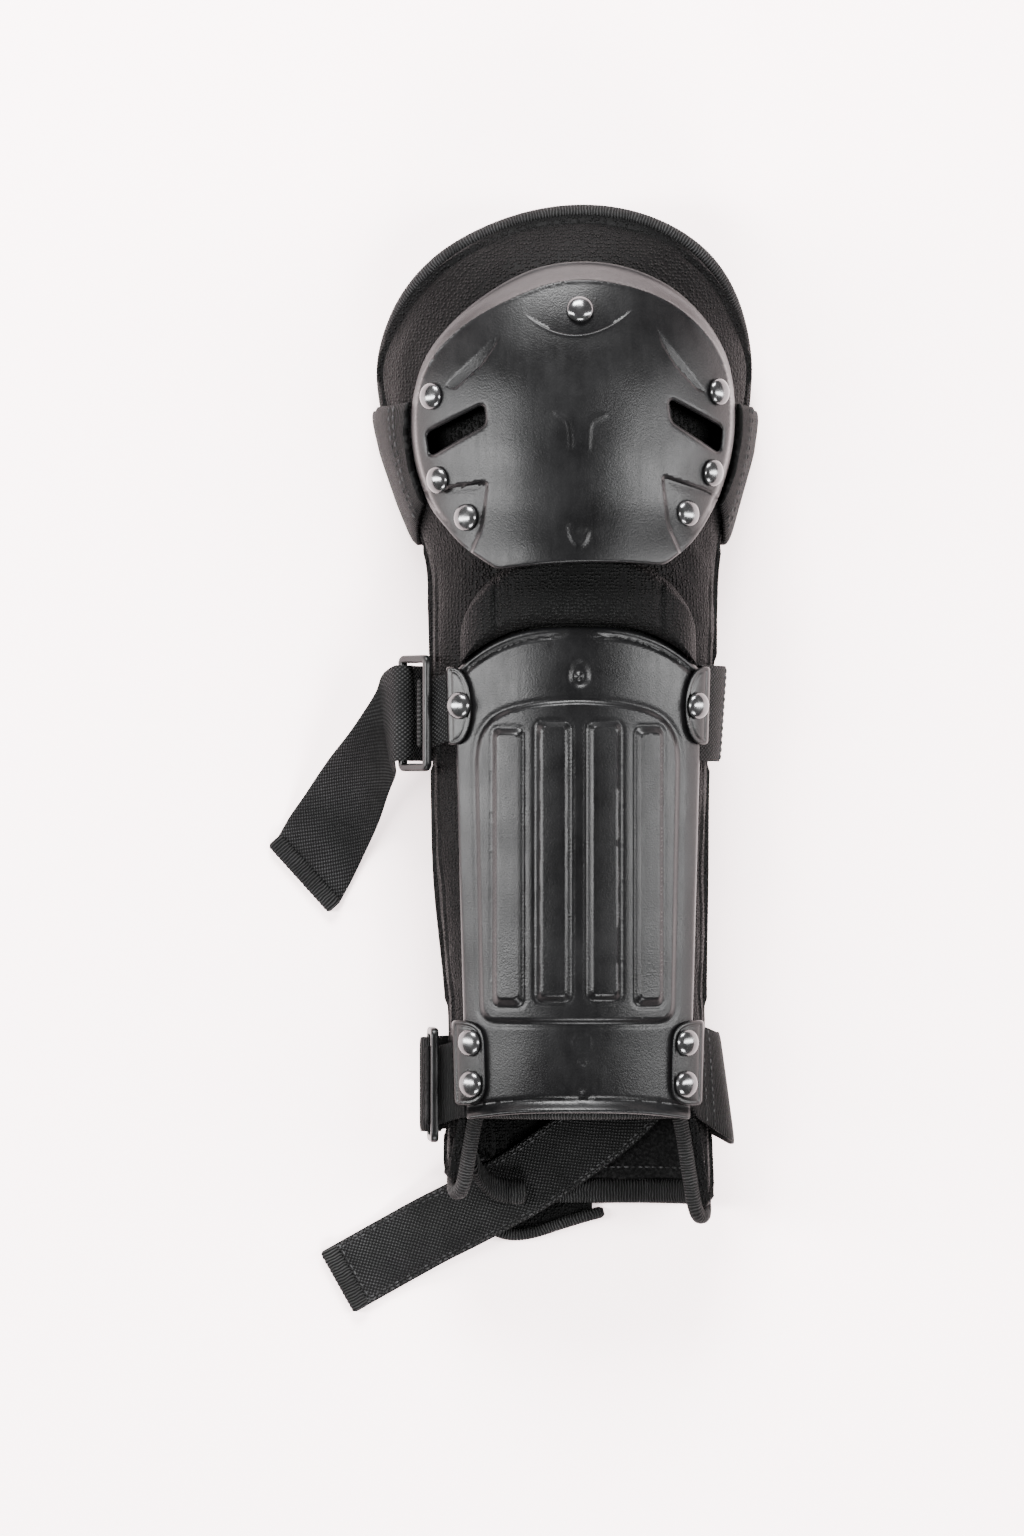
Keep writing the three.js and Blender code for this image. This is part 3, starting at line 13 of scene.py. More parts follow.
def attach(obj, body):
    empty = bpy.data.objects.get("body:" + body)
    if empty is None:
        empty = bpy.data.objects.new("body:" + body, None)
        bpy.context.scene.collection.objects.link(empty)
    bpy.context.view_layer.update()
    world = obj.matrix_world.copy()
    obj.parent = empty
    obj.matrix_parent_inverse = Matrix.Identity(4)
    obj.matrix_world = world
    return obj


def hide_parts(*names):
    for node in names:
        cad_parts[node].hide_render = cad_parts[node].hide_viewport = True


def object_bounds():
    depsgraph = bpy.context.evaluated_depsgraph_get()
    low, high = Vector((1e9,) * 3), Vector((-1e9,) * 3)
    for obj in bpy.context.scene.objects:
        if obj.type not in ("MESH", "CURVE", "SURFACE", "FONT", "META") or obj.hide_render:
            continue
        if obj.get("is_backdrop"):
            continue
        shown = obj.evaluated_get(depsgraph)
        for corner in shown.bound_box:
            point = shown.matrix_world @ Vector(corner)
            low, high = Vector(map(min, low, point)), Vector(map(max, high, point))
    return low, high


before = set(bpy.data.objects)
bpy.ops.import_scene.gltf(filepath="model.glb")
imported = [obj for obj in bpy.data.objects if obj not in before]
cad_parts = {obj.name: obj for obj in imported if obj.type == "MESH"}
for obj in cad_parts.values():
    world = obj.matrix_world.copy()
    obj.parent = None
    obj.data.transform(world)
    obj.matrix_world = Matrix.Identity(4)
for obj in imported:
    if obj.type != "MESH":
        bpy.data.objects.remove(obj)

MM = 0.001
cad_low, cad_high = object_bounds()

# Sizes and tables of the part that the visible pieces follow
ELBOW_REACH = 186
WRIST_REACH = 183
FOREARM_WIDTH = 101
ELBOW_WIDTH = 139
FRONT_HEIGHT = 61
PAD_WALL = 5.5
WRAP_WALL = 3.5
WRAP_LENGTH = 203
BINDING_WIDTH = 5
HEM_WIDTH = 10
HEM_THICKNESS = 5.6
SIDE_CORNER_RADIUS = 10
CAP_WIDTH = 120
CAP_LENGTH = 114.5
CAP_WALL = 2.8
CAP_LIFT = 9
CAP_LIP_LIFT = 3
CAP_POCKET_DEPTH = 1.5
SHELL_LENGTH = 178.5
SHELL_TOP_WIDTH = 92.5
SHELL_WRIST_WIDTH = 83
SHELL_WALL = 2.5
PANEL_RISE = 1.2
RIB_RISE = 2.2
SHELL_FLARE = 2.6
FLEX_PAD_RISE = 7.5
RIVET_HEIGHT = 3.2
RIVET_CLEAR = 0.15
TAB_WALL = 1.8
UPPER_TAB_LENGTH = 29
UPPER_TAB_DEPTH = 9.2
LOWER_PLATE_LENGTH = 31.5
LOWER_PLATE_DEPTH = 12.1
BUCKLE_BAR = 3
BUCKLE_PLAY = 0.8
STRAP_WALL = 1.8
MID_STRAP_WIDTH = 35.5
MID_TAIL_REACH = 67
LOWER_STRAP_WIDTH = 35
ELBOW_STRAP_WIDTH = 50
WRIST_STRAP_WIDTH = 26
WRIST_STRAP_REACH = 133
STRAP_END_LENGTH = 5
STRAP_END_THICKNESS = 3.6
GAP = 0.35
SEAT_GAP = 0.5
EDGE_GAP = 0.9
RIM_GAP = 1.6
REST = STRAP_WALL + GAP
ELBOW_SHOULDER = 0.675
LEAN_START = 0.5
BACK_DROP = 1.07
BACK_SQUARE = 0.72

# at, flare, left, right, shift, top, seat, edge
SECTIONS = np.array([
    (-1.0, 0, 0.97, 0.99, 0, 0.9, 0.38, 92),
    (-0.8, 0, 0.96, 0.96, 0, 0.935, 0.4, 92),
    (-0.6, 0, 0.95, 0.93, 0, 0.967, 0.425, 92),
    (-0.33, 0, 1.04, 0.94, 0, 0.985, 0.44, 92),
    (-0.1, 0, 1.06, 0.95, 0, 1.0, 0.45, 92),
    (0.107, 0, 1.07, 1.0, 0, 1.015, 0.44, 92),
    (0.21, 0.02, 1.05, 1.02, -0.008, 1.02, 0.41, 91),
    (0.305, 0.17, 1.0, 1.0, -0.013, 1.03, 0.33, 88),
    (0.4, 0.43, 1.0, 1.0, -0.022, 1.055, 0.2, 82),
    (0.535, 0.8, 1.0, 1.0, -0.028, 1.08, 0.05, 76),
    (0.675, 1, 1.0, 1.0, -0.035, 1.065, -0.03, 75),
    (0.8, 1, 1.0, 1.0, -0.028, 0.965, -0.1, 75),
    (0.91, 1, 1.0, 1.0, -0.012, 0.81, -0.16, 75),
    (1.0, 1, 1.0, 1.0, 0.01, 0.6, -0.22, 75),
])


def lerp(a, b, t):
    return a + (b - a) * t


def smooth(value, low, high):
    """0 below low, 1 above high, and an S curve between."""
    t = np.clip((value - low) / (high - low), 0, 1)
    return t * t * (3 - 2 * t)


def bell(value, width):
    return np.exp(-((value / width) ** 2))


def unit(vectors):
    return vectors / np.linalg.norm(vectors, axis=-1, keepdims=True)


# The padded body's outer form


def between(rows, at):
    """Smooth values of a table's columns between its rows."""
    at = np.asarray(at, float)
    last = len(rows) - 1
    i = np.searchsorted(rows[1:last, 0], at, side="left")
    a, b = rows[i], rows[i + 1]
    span = (b - a)[..., :1]

    def slope(k):
        low, high = rows[np.maximum(k - 1, 0)], rows[np.minimum(k + 1, last)]
        return (high - low) / (high - low)[..., :1] * span

    t = (at[..., None] - a[..., :1]) / span
    t2, t3 = t * t, t * t * t
    value = (2 * t3 - 3 * t2 + 1) * a + (t3 - 2 * t2 + t) * slope(i)
    value = value + (3 * t2 - 2 * t3) * b + (t3 - t2) * slope(i + 1)
    value = np.where(t < 0, a + slope(i) * t, value)
    return np.where(t > 1, b + slope(i + 1) * (t - 1), value)


def section(y):
    """edge, left, right, shift, top and seat of the body at stations."""
    y = np.asarray(y, float)
    row = between(SECTIONS, y / np.where(y < 0, WRIST_REACH, ELBOW_REACH))
    _, flare, left, right, shift, top, seat, edge = np.moveaxis(row, -1, 0)
    edge = np.radians(edge)
    half = lerp(FOREARM_WIDTH, ELBOW_WIDTH, flare) / 2
    radius = half / np.sin(np.minimum(edge, math.pi / 2))
    return (
        edge, radius * left, radius * right, ELBOW_WIDTH * shift,
        FRONT_HEIGHT * top, FRONT_HEIGHT * seat,
    )


def form(y, angle):
    y, angle = np.broadcast_arrays(np.asarray(y, float), np.asarray(angle, float))
    _, left, right, shift, top, seat = section(y)
    across, up = np.sin(angle), np.cos(angle)
    radius = lerp(right, left, smooth(-across, LEAN_START, 1))
    squared = np.sign(across) * np.abs(across) ** BACK_SQUARE
    drop = (seat - REST) * BACK_DROP * np.abs(up) ** BACK_SQUARE
    x = shift + radius * np.where(up >= 0, across, squared)
    z = np.where(up >= 0, seat + (top - seat) * up, np.maximum(seat - drop, REST))
    return np.stack([x, y, z], -1)


def outside(y, angle, distance):
    """Points at a distance outside the form, and the directions it is measured in."""
    turn, step = 0.01, 0.5
    y, angle = np.asarray(y, float), np.asarray(angle, float)
    round_arm = form(y, angle + turn) - form(y, angle - turn)
    along = form(y + step, angle) - form(y - step, angle)
    normal = unit(np.cross(round_arm, along))
    return form(y, angle) + normal * np.asarray(distance, float)[..., None], normal


def facing(x, y, distance):
    """Points at a distance outside the form, found from where they are seen from the front,
    with their directions and angles."""
    x, y, distance = np.broadcast_arrays(*(np.asarray(v, float) for v in (x, y, distance)))
    aim_x, aim_y = x.copy(), y.copy()
    for _ in range(7):
        _, left, right, shift, _, _ = section(aim_y)
        radius = np.where(aim_x < shift, left, right)
        angle = np.arcsin(np.clip((aim_x - shift) / radius, -0.999, 0.999))
        point, normal = outside(aim_y, angle, distance)
        aim_x += x - point[..., 0]
        aim_y += y - point[..., 1]
    return point, normal, angle


# Materials

PLASTIC_SHINE = 0.115
PAD_SHINE = 0.045
BAND_SHINE = 0.07


class Finish:
    """A material under construction: nodes are added one line at a time."""

    def __init__(self, name):
        self.material = bpy.data.materials.new(name)
        self.material.use_nodes = True
        self.tree = self.material.node_tree
        self.shader = self.tree.nodes["Principled BSDF"]

    def link(self, value, socket):
        if isinstance(value, bpy.types.NodeSocket):
            self.tree.links.new(value, socket)
        else:
            socket.default_value = value

    def node(self, kind, inputs, out=0, **settings):
        node = self.tree.nodes.new("ShaderNode" + kind)
        for key, value in settings.items():
            setattr(node, key, value)
        for key, value in inputs.items():
            self.link(value, node.inputs[key])
        return node.outputs[out]

    def math(self, operation, a, b=0.0):
        return self.node("Math", {0: a, 1: b}, operation=operation)

    def noise(self, place, scale, detail=2.0, roughness=0.5):
        return self.node("TexNoise", {
            "Vector": place, "Scale": scale, "Detail": detail, "Roughness": roughness,
        })

    def ramp(self, value, low, high, dark, light):
        return self.node("MapRange", {
            "Value": value, "From Min": low, "From Max": high, "To Min": dark, "To Max": light,
        })

    def blend(self, share, dark, light):
        """A colour between two others."""
        return self.node(
            "Mix", {"Factor": share, 6: (*dark, 1), 7: (*light, 1)}, 2, data_type="RGBA",
        )

    def place(self):
        return self.node("TexCoord", {}, 3)

    def run(self):
        """Along and across a band, in millimetres."""
        vector = self.tree.nodes.new("ShaderNodeAttribute")
        vector.attribute_name = "run"
        split = self.tree.nodes.new("ShaderNodeSeparateXYZ")
        self.tree.links.new(vector.outputs["Vector"], split.inputs[0])
        return split.outputs[0], split.outputs[1]

    def wave(self, value, pitch):
        turned = self.math("MULTIPLY", value, 2 * math.pi / pitch)
        return self.math("SINE", turned)

    def bump(self, *heights):
        """Chained bumps, each a height socket and its size in millimetres."""
        normal = None
        for height, size in heights:
            inputs = {"Height": height, "Strength": 1.0, "Distance": size * MM}
            if normal is not None:
                inputs["Normal"] = normal
            normal = self.node("Bump", inputs)
        self.link(normal, self.shader.inputs["Normal"])

    def surface(self, **values):
        for key, value in values.items():
            self.link(value, self.shader.inputs[key.replace("_", " ")])
        return self.material


    def cloth(self, height, patches, fine, colours, rough, specular):
        """Cloth whose raised parts are painted lighter than the sunk ones, a painted highlight on the
        raised tops and painted shade in the hollows, more so in soft patches.
        """
        # Painted highlight and shade: the base colour follows the bump height.
        tone = self.math("MULTIPLY", height, patches)
        return self.surface(
            Base_Color=self.blend(tone, *colours),
            Roughness=self.ramp(fine, 0.3, 0.7, *rough), Specular_IOR_Level=specular,
        )


def plastic_finish(name, dark, light, rough, grain):
    finish = Finish(name)
    place = finish.place()
    fine = finish.noise(place, 1500, 2)
    cloud = finish.noise(place, 38, 4, 0.6)
    streak = finish.noise(
        finish.node("Mapping", {"Vector": place, "Scale": (1.0, 0.12, 1.0)}), 420, 3)
    share = finish.math(
        "ADD", finish.math("MULTIPLY", cloud, 0.7), finish.math("MULTIPLY", fine, 0.3))
    # Convex edges (pointiness) painted lighter: partly edge wear, partly a painted highlight along
    # the edges.
    edge_wear_and_highlight = finish.node("NewGeometry", {}, 7)
    edge = finish.ramp(edge_wear_and_highlight, 0.53, 0.6, 0.0, 0.35)
    tone = finish.math("ADD", finish.ramp(share, 0.35, 0.68, 0.0, 1.0), edge)
    roughness = finish.math(
        "ADD", finish.ramp(cloud, 0.35, 0.7, *rough), finish.ramp(streak, 0.4, 0.8, 0, 0.06))
    finish.bump((fine, grain), (cloud, 0.05))
    return finish.surface(
        Base_Color=finish.blend(tone, dark, light), Roughness=roughness,
        Specular_IOR_Level=PLASTIC_SHINE,
    )


def pebble_finish(name, cell, dark, light, depth):
    """Cloth of small raised cells."""
    finish = Finish(name)
    place = finish.place()
    warp = finish.noise(place, 220, 2)
    shift = finish.node("CombineXYZ", {0: warp, 1: warp, 2: warp})
    shift = finish.node("VectorMath", {0: shift, 1: (0.0009,) * 3}, operation="MULTIPLY")
    bent = finish.node("VectorMath", {0: place, 1: shift}, operation="ADD")
    cells = finish.node("TexVoronoi", {"Vector": bent, "Scale": 1000 / cell, "Randomness": 0.55})
    fine = finish.noise(place, 2600, 2)
    cloud = finish.noise(place, 45, 3)
    lump = finish.ramp(cells, 0.05, 0.55, 1.0, 0.0)
    patches = finish.ramp(cloud, 0.35, 0.7, 0.55, 1.0)
    finish.bump((lump, depth), (fine, 0.05), (cloud, 0.25))
    # The raised cells get a painted highlight, and the gaps between them get painted shade, in
    # cloth().
    return finish.cloth(lump, patches, fine, (dark, light), (0.5, 0.7), PAD_SHINE)


def ribbed_finish(name, pitch, dark, light, depth):
    """Binding with fine ribs across its run."""
    finish = Finish(name)
    place = finish.place()
    along, _ = finish.run()
    wander = finish.math("MULTIPLY", finish.noise(place, 260, 2), 1.4)
    ribs = finish.wave(finish.math("ADD", along, wander), pitch)
    fine = finish.noise(place, 2200, 2)
    cloud = finish.noise(place, 60, 3)
    high = finish.ramp(ribs, -0.7, 1.0, 0.0, 1.0)
    patches = finish.ramp(cloud, 0.35, 0.7, 0.45, 1.0)
    finish.bump((high, depth), (fine, 0.08), (cloud, 0.2))
    # The raised ribs get a painted highlight, and the grooves get painted shade, in cloth().
    return finish.cloth(high, patches, fine, (dark, light), (0.6, 0.8), BAND_SHINE)


def woven_finish(name, pitch, dark, light, depth):
    """Webbing: raised dots where warp and weft cross."""
    finish = Finish(name)
    place = finish.place()
    along, across = finish.run()
    wander = finish.math("MULTIPLY", finish.noise(place, 180, 2), 0.7)
    warp = finish.wave(finish.math("ADD", along, wander), pitch)
    weft = finish.wave(finish.math("ADD", across, wander), pitch * 0.92)
    dots = finish.math("MULTIPLY", warp, weft)
    fine = finish.noise(place, 2400, 2)
    cloud = finish.noise(place, 55, 3)
    high = finish.ramp(dots, -0.2, 0.9, 0.0, 1.0)
    patches = finish.ramp(cloud, 0.3, 0.7, 0.4, 1.0)
    finish.bump((high, depth), (fine, 0.1))
    # The raised dots get a painted highlight, and the sunk weave gets painted shade, in cloth().
    return finish.cloth(high, patches, fine, (dark, light), (0.6, 0.82), BAND_SHINE)


def loop_finish():
    """Fuzzy inner cloth."""
    finish = Finish("loop_cloth")
    place = finish.place()
    curl = finish.noise(place, 900, 4, 0.7)
    cloud = finish.noise(place, 90, 3)
    curls = finish.ramp(curl, 0.45, 0.7, 0.0, 1.0)
    tone = finish.math("MULTIPLY", curls, finish.ramp(cloud, 0.3, 0.7, 0.4, 1.0))
    finish.bump((curl, 0.7), (cloud, 0.4))
    return finish.surface(
        Base_Color=finish.blend(tone, (0.001, 0.001, 0.001), (0.009, 0.009, 0.009)),
        Roughness=0.85, Specular_IOR_Level=0.04,
    )


def metal_finish():
    finish = Finish("rivet_metal")
    place = finish.place()
    cloud = finish.noise(place, 300, 3)
    finish.bump((cloud, 0.03))
    return finish.surface(
        Base_Color=finish.blend(cloud, (0.05, 0.05, 0.051), (0.09, 0.09, 0.091)),
        Metallic=0.9, Roughness=finish.ramp(cloud, 0.3, 0.7, 0.14, 0.26), Specular_IOR_Level=0.3,
    )


SHELL_PLASTIC = plastic_finish(
    "shell_plastic", (0.0012, 0.0012, 0.0013), (0.0038, 0.0038, 0.004), (0.28, 0.38), 0.07)
TAB_PLASTIC = plastic_finish(
    "tab_plastic", (0.001, 0.001, 0.001), (0.003, 0.003, 0.0031), (0.24, 0.34), 0.05)
PAD_CLOTH = pebble_finish("pad_cloth", 1.3, (0.0002, 0.0002, 0.0002), (0.006, 0.006, 0.006), 1.0)
BINDING_CLOTH = ribbed_finish(
    "binding_cloth", 1.08, (0.0003, 0.0003, 0.0003), (0.018, 0.018, 0.018), 0.45)
WEBBING = woven_finish("webbing", 1.7, (0.0003, 0.0003, 0.0003), (0.024, 0.024, 0.0242), 0.5)
ELASTIC = ribbed_finish("elastic", 0.85, (0.0003, 0.0003, 0.0003), (0.006, 0.006, 0.006), 0.4)
THREAD = ribbed_finish("thread", 0.5, (0.006, 0.006, 0.006), (0.03, 0.03, 0.0305), 0.05)
LOOP_CLOTH = loop_finish()
RIVET_METAL = metal_finish()


# Makers


def piece(name, points, faces, finish, replaces=(), run=None, sharp=None, sewn=None):
    """Mesh object riding with the guard. run: along and across for its finish; sewn: its faces
    from this one on are thread."""
    data = bpy.data.meshes.new(name)
    data.from_pydata((np.asarray(points) * MM).tolist(), [], faces)
    if run is not None:
        layer = data.attributes.new("run", "FLOAT_VECTOR", "POINT")
        flat = np.zeros((len(data.vertices), 3), np.float32)
        flat[:, :2] = run
        layer.data.foreach_set("vector", flat.ravel())
    data.polygons.foreach_set("use_smooth", np.ones(len(data.polygons), bool))
    if sharp:
        data.set_sharp_from_angle(angle=math.radians(sharp))
    data.materials.append(finish)
    if sewn is not None:
        data.materials.append(THREAD)
        data.polygons.foreach_set(
            "material_index", (np.arange(len(data.polygons)) >= sewn).astype(np.int32))
    thing = bpy.data.objects.new(name, data)
    bpy.context.scene.collection.objects.link(thing)
    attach(thing, "root")
    if replaces:
        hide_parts(*replaces)
    return thing


def turned_out(points, faces):
    """The faces, turned so that the closed mesh faces outwards."""
    corner = points[faces]
    volume = np.einsum("ij,ij->", corner[:, 0], np.cross(corner[:, 1], corner[:, 2]))
    if faces.shape[1] == 4:
        volume += np.einsum("ij,ij->", corner[:, 0], np.cross(corner[:, 2], corner[:, 3]))
    return faces if volume > 0 else faces[:, ::-1]


def quad_faces(index):
    """Quads between the neighbours in a grid of point numbers."""
    quads = np.stack([index[:-1, :-1], index[:-1, 1:], index[1:, 1:], index[1:, :-1]], -1)
    return quads.reshape(-1, 4)


def wall(outer, inner):
    """Points and faces of the closed wall between two grids of points."""
    rows, cols = outer.shape[:2]
    half = rows * cols
    index = np.arange(half).reshape(rows, cols)
    quads = quad_faces(index)
    rims = [index[0], index[-1][::-1], index[:, -1], index[:, 0][::-1]]
    sides = [np.stack([r[1:], r[:-1], r[:-1] + half, r[1:] + half], -1) for r in rims]
    faces = np.vstack([quads, quads[:, ::-1] + half, *sides])
    points = np.vstack([outer.reshape(-1, 3), inner.reshape(-1, 3)])
    return points, turned_out(points, faces)


def lengths(points):
    """Length along a line of points."""
    steps = np.linalg.norm(np.diff(points, axis=0), axis=-1)
    return np.concatenate([[0], np.cumsum(steps)])


def respaced(points, count, closed=False, extra=()):
    """Points at even steps along a line, with other arrays carried along."""
    line = np.vstack([points, points[:1]]) if closed else points
    at = lengths(line)
    to = np.linspace(0, at[-1], count + 1)[: count if closed else count + 1]

    def even(values):
        full = np.vstack([values, values[:1]]) if closed else values
        return np.stack([np.interp(to, at, full[:, k]) for k in range(full.shape[1])], -1)

    return even(points) if not extra else (even(points), *(even(v) for v in extra))


def smoothed(points, rounds, closed=False):
    """Points eased towards the middle of their neighbours."""
    for _ in range(rounds):
        if closed:
            points = (np.roll(points, 1, 0) + 2 * points + np.roll(points, -1, 0)) / 4
        else:
            points = points.copy()
            points[1:-1] = (points[:-2] + 2 * points[1:-1] + points[2:]) / 4
    return points


def roll(line, wide, high, width, height, sides, closed, square=1.0, taper=None):
    """Points, faces and run of a roll along a line; square under 1 flattens its section."""
    count = len(line)
    turn = -math.pi / 2 + np.arange(sides) * 2 * math.pi / sides
    cos, sin = np.cos(turn), np.sin(turn)
    across = np.sign(cos) * np.abs(cos) ** square * width / 2
    up = np.sign(sin) * np.abs(sin) ** square * height / 2
    size = np.ones(count) if taper is None else taper
    rings = (
        line[:, None]
        + wide[:, None] * (across[None, :] * size[:, None])[..., None]
        + high[:, None] * (up[None, :] * size[:, None])[..., None]
    )
    points = rings.reshape(-1, 3)
    index = np.arange(count * sides).reshape(count, sides)
    index = np.hstack([index, index[:, :1]])
    if closed:
        index = np.vstack([index, index[:1]])
    quads = turned_out(points, quad_faces(index))
    faces = quads.tolist()
    along = np.repeat(lengths(line), sides)
    run = np.stack([along, np.tile(np.arange(sides) * (width + height) / sides, count)], -1)
    if not closed:
        ends = index[:, :-1]
        flip = not np.array_equal(quads[0, :2], [0, 1])
        first, last = ends[0].tolist(), ends[-1].tolist()
        faces += [first if flip else first[::-1], last[::-1] if flip else last]
    return points, faces, run


def ripples(points, length, seed, count=10):
    """Soft random height between about -1 and 1 that changes over a length."""
    rng = np.random.default_rng(seed)
    value = 0
    for _ in range(count):
        direction = unit(rng.normal(size=3)) * 2 * math.pi / (length * rng.uniform(0.7, 1.5))
        value = value + np.sin(points @ direction + rng.uniform(0, 2 * math.pi))
    return value / math.sqrt(count)


def search_tree(points):
    tree = kdtree.KDTree(len(points))
    for i, place in enumerate(points):
        tree.insert(place, i)
    tree.balance()
    return tree


def line_distance(points, line, closed=False):
    """Distance of each point to a line of points."""
    ends = np.roll(line, -1, 0) if closed else line[1:]
    starts = line if closed else line[:-1]
    nearest = np.full(points.shape[:-1], np.inf)
    for a, b in zip(starts, ends):
        side = b - a
        t = np.clip(((points - a) @ side) / max(side @ side, 1e-12), 0, 1)
        gap = points - a - t[..., None] * side
        nearest = np.minimum(nearest, np.einsum("...i,...i->...", gap, gap))
    return np.sqrt(nearest)


def within(points, polygon):
    """Which points lie inside a polygon."""
    x, y = points[..., 0], points[..., 1]
    hit = np.zeros(x.shape, bool)
    for (x1, y1), (x2, y2) in zip(polygon, np.roll(polygon, -1, 0)):
        if y1 != y2:
            hit ^= ((y1 > y) != (y2 > y)) & (x < (x2 - x1) * (y - y1) / (y2 - y1) + x1)
    return hit


def signed(points, polygon):
    """Distance to a polygon, positive inside it."""
    return np.where(within(points, polygon), 1, -1) * line_distance(points, polygon, True)


def inset(polygon, distance):
    """The polygon moved inwards by a distance."""
    ahead = unit(np.roll(polygon, -1, 0) - np.roll(polygon, 1, 0))
    inward = np.stack([-ahead[:, 1], ahead[:, 0]], -1)
    x, y = polygon[:, 0], polygon[:, 1]
    area = np.sum(x * np.roll(y, -1) - np.roll(x, -1) * y)
    return polygon + inward * distance * np.sign(area)


def bow(start, pull, end, shares):
    """Curve from start to end that is drawn towards a third point."""
    t = shares[:, None]
    return (1 - t) ** 2 * start + 2 * t * (1 - t) * pull + t * t * end


def rounded(corners, radius, steps=6):
    """Polygon with its corners rounded and its sides divided."""
    corners = np.asarray(corners, float)
    line = []
    for i, corner in enumerate(corners):
        before, after = corners[i - 1], corners[(i + 1) % len(corners)]
        start = corner + unit(before - corner) * radius
        end = corner + unit(after - corner) * radius
        line.append(bow(start, corner, end, np.linspace(0, 1, steps)))
    line = np.vstack(line)
    total = lengths(np.vstack([line, line[:1]]))[-1]
    return respaced(line, max(int(total / 0.7), 16), True)


def moulded(outline, holes, creases, levels, spacing):
    """Points and faces of a moulded wall seen from the front. creases: lines that its mesh
    follows, each with whether it is closed; levels: its outer and inner distance from the
    padded body at places."""
    lines = [(outline, True)] + [(hole, True) for hole in holes] + list(creases)
    low, high = outline.min(0), outline.max(0)
    xs = np.arange(low[0], high[0], spacing)
    ys = np.arange(low[1], high[1], spacing * 0.866)
    gx, gy = np.meshgrid(xs, ys)
    gx[1::2] += spacing / 2
    spread = np.stack([gx.ravel(), gy.ravel()], -1)
    spread = spread[within(spread, outline)]
    tree = search_tree([(x, y, 0) for x, y in spread])
    crowded = set()
    fixed, edges = [], []
    for line, closed in lines:
        start = len(fixed)
        fixed += [tuple(p) for p in line]
        edges += [(start + i, start + i + 1) for i in range(len(line) - 1)]
        if closed:
            edges.append((start + len(line) - 1, start))
        for x, y in line:
            crowded |= {i for _, i, _ in tree.find_range((x, y, 0), spacing * 0.45)}
    loose = [tuple(p) for i, p in enumerate(spread) if i not in crowded]
    flat = [Vector((float(x), float(y))) for x, y in fixed + loose]
    found = geometry.delaunay_2d_cdt(flat, edges, [], 0, 0.01, False)
    places = np.array([tuple(v) for v in found[0]])
    faces = np.array(found[2])
    middle = places[faces].mean(1)
    keep = within(middle, outline)
    for hole in holes:
        keep &= ~within(middle, hole)
    faces = faces[keep]
    used = np.unique(faces)
    places, faces = places[used], np.searchsorted(used, faces)
    outer, inner = levels(places)
    top, _, _ = facing(places[:, 0], places[:, 1], outer)
    bottom, _, _ = facing(places[:, 0], places[:, 1], inner)
    edge = np.vstack([faces[:, [0, 1]], faces[:, [1, 2]], faces[:, [2, 0]]])
    key = np.sort(edge, 1)
    key = key[:, 0] * len(places) + key[:, 1]
    _, first, counts = np.unique(key, return_index=True, return_counts=True)
    a, b = edge[first[counts == 1]].T
    half = len(places)
    strips = np.vstack([np.stack([b, a, a + half], -1), np.stack([b, a + half, b + half], -1)])
    faces = np.vstack([faces, faces[:, ::-1] + half, strips])
    points = np.vstack([top, bottom])
    return points, turned_out(points, faces)


def edge_drop(depth, radius):
    """How far a rounded edge falls, at a depth in from it."""
    t = np.clip(1 - depth / radius, 0, 1)
    return radius * (1 - np.sqrt(1 - t * t))


def marks(x, y, table):
    """Small round marks, each a middle, a ring's radius, a squeeze along y, a width and a rise."""
    return sum(
        rise * bell(np.hypot(x - at_x, (y - at_y) * squeeze) - ring, width)
        for at_x, at_y, ring, squeeze, width, rise in table
    )


def seat_on(x, y, rise):
    """Place and direction of a rivet set on a surface."""
    reach = 2.5
    xs = np.array([x, x + reach, x - reach, x, x])
    ys = np.array([y, y, y, y + reach, y - reach])
    at, _, _ = facing(xs, ys, rise(xs, ys))
    normal = unit(np.cross(at[1] - at[2], at[3] - at[4]))
    return at[0] + normal * RIVET_CLEAR, normal


# Elbow cap

CAP_MIDDLE = np.array([-0.014 * CAP_WIDTH, 0.591 * ELBOW_REACH])
CAP_HALF = np.array([CAP_WIDTH / 2, CAP_LENGTH / 2])
CAP_OUTLINE = np.array([
    (-0.47, -1.0), (-0.67, -0.85), (-0.79, -0.71), (-0.9, -0.54), (-0.99, -0.22), (-0.99, 0.12),
    (-0.88, 0.44), (-0.6, 0.74), (-0.2, 0.96), (0.24, 0.98), (0.65, 0.8), (0.93, 0.44),
    (1.0, 0.0), (0.93, -0.42), (0.75, -0.78), (0.55, -0.97),
])
CAP_LIP_SAG = 0.03
CAP_FLANGE_TOP = 8
CAP_FLANGE_SIDE = 2.2
CAP_OPEN_HEIGHT = 0.33
CAP_WINDOWS = [
    [(-0.9, -0.11), (-0.55, 0.06), (-0.54, -0.07), (-0.88, -0.26)],
    [(0.58, 0.1), (0.91, -0.07), (0.895, -0.235), (0.595, -0.045)],
]
CAP_POCKETS = [
    [(-1.02, -0.5), (-0.8, -0.46), (-0.52, -0.43), (-0.555, -0.72), (-0.66, -0.98), (-0.95, -0.85)],
    [(0.53, -0.39), (0.8, -0.47), (1.02, -0.58), (0.92, -0.85), (0.68, -0.98), (0.57, -0.72)],
]
CAP_RIVETS = [
    (0.034, 0.66, 0), (-0.868, 0.12, 0), (-0.828, -0.414, 0), (-0.655, -0.66, 1),
    (0.883, 0.155, 0), (0.846, -0.366, 0), (0.69, -0.63, 1.4),
]
# Sunken leaves beside the dome: tip, far end, then the belly back to the tip
CAP_LEAVES = [
    [(-28.2, 140.6), (-49.3, 120.4), (-45.4, 118.9), (-35.7, 127.2), (-30.4, 134.6)],
    [(27.6, 142.9), (47.2, 118), (43.4, 119), (35.6, 127.2), (30.6, 135)],
]
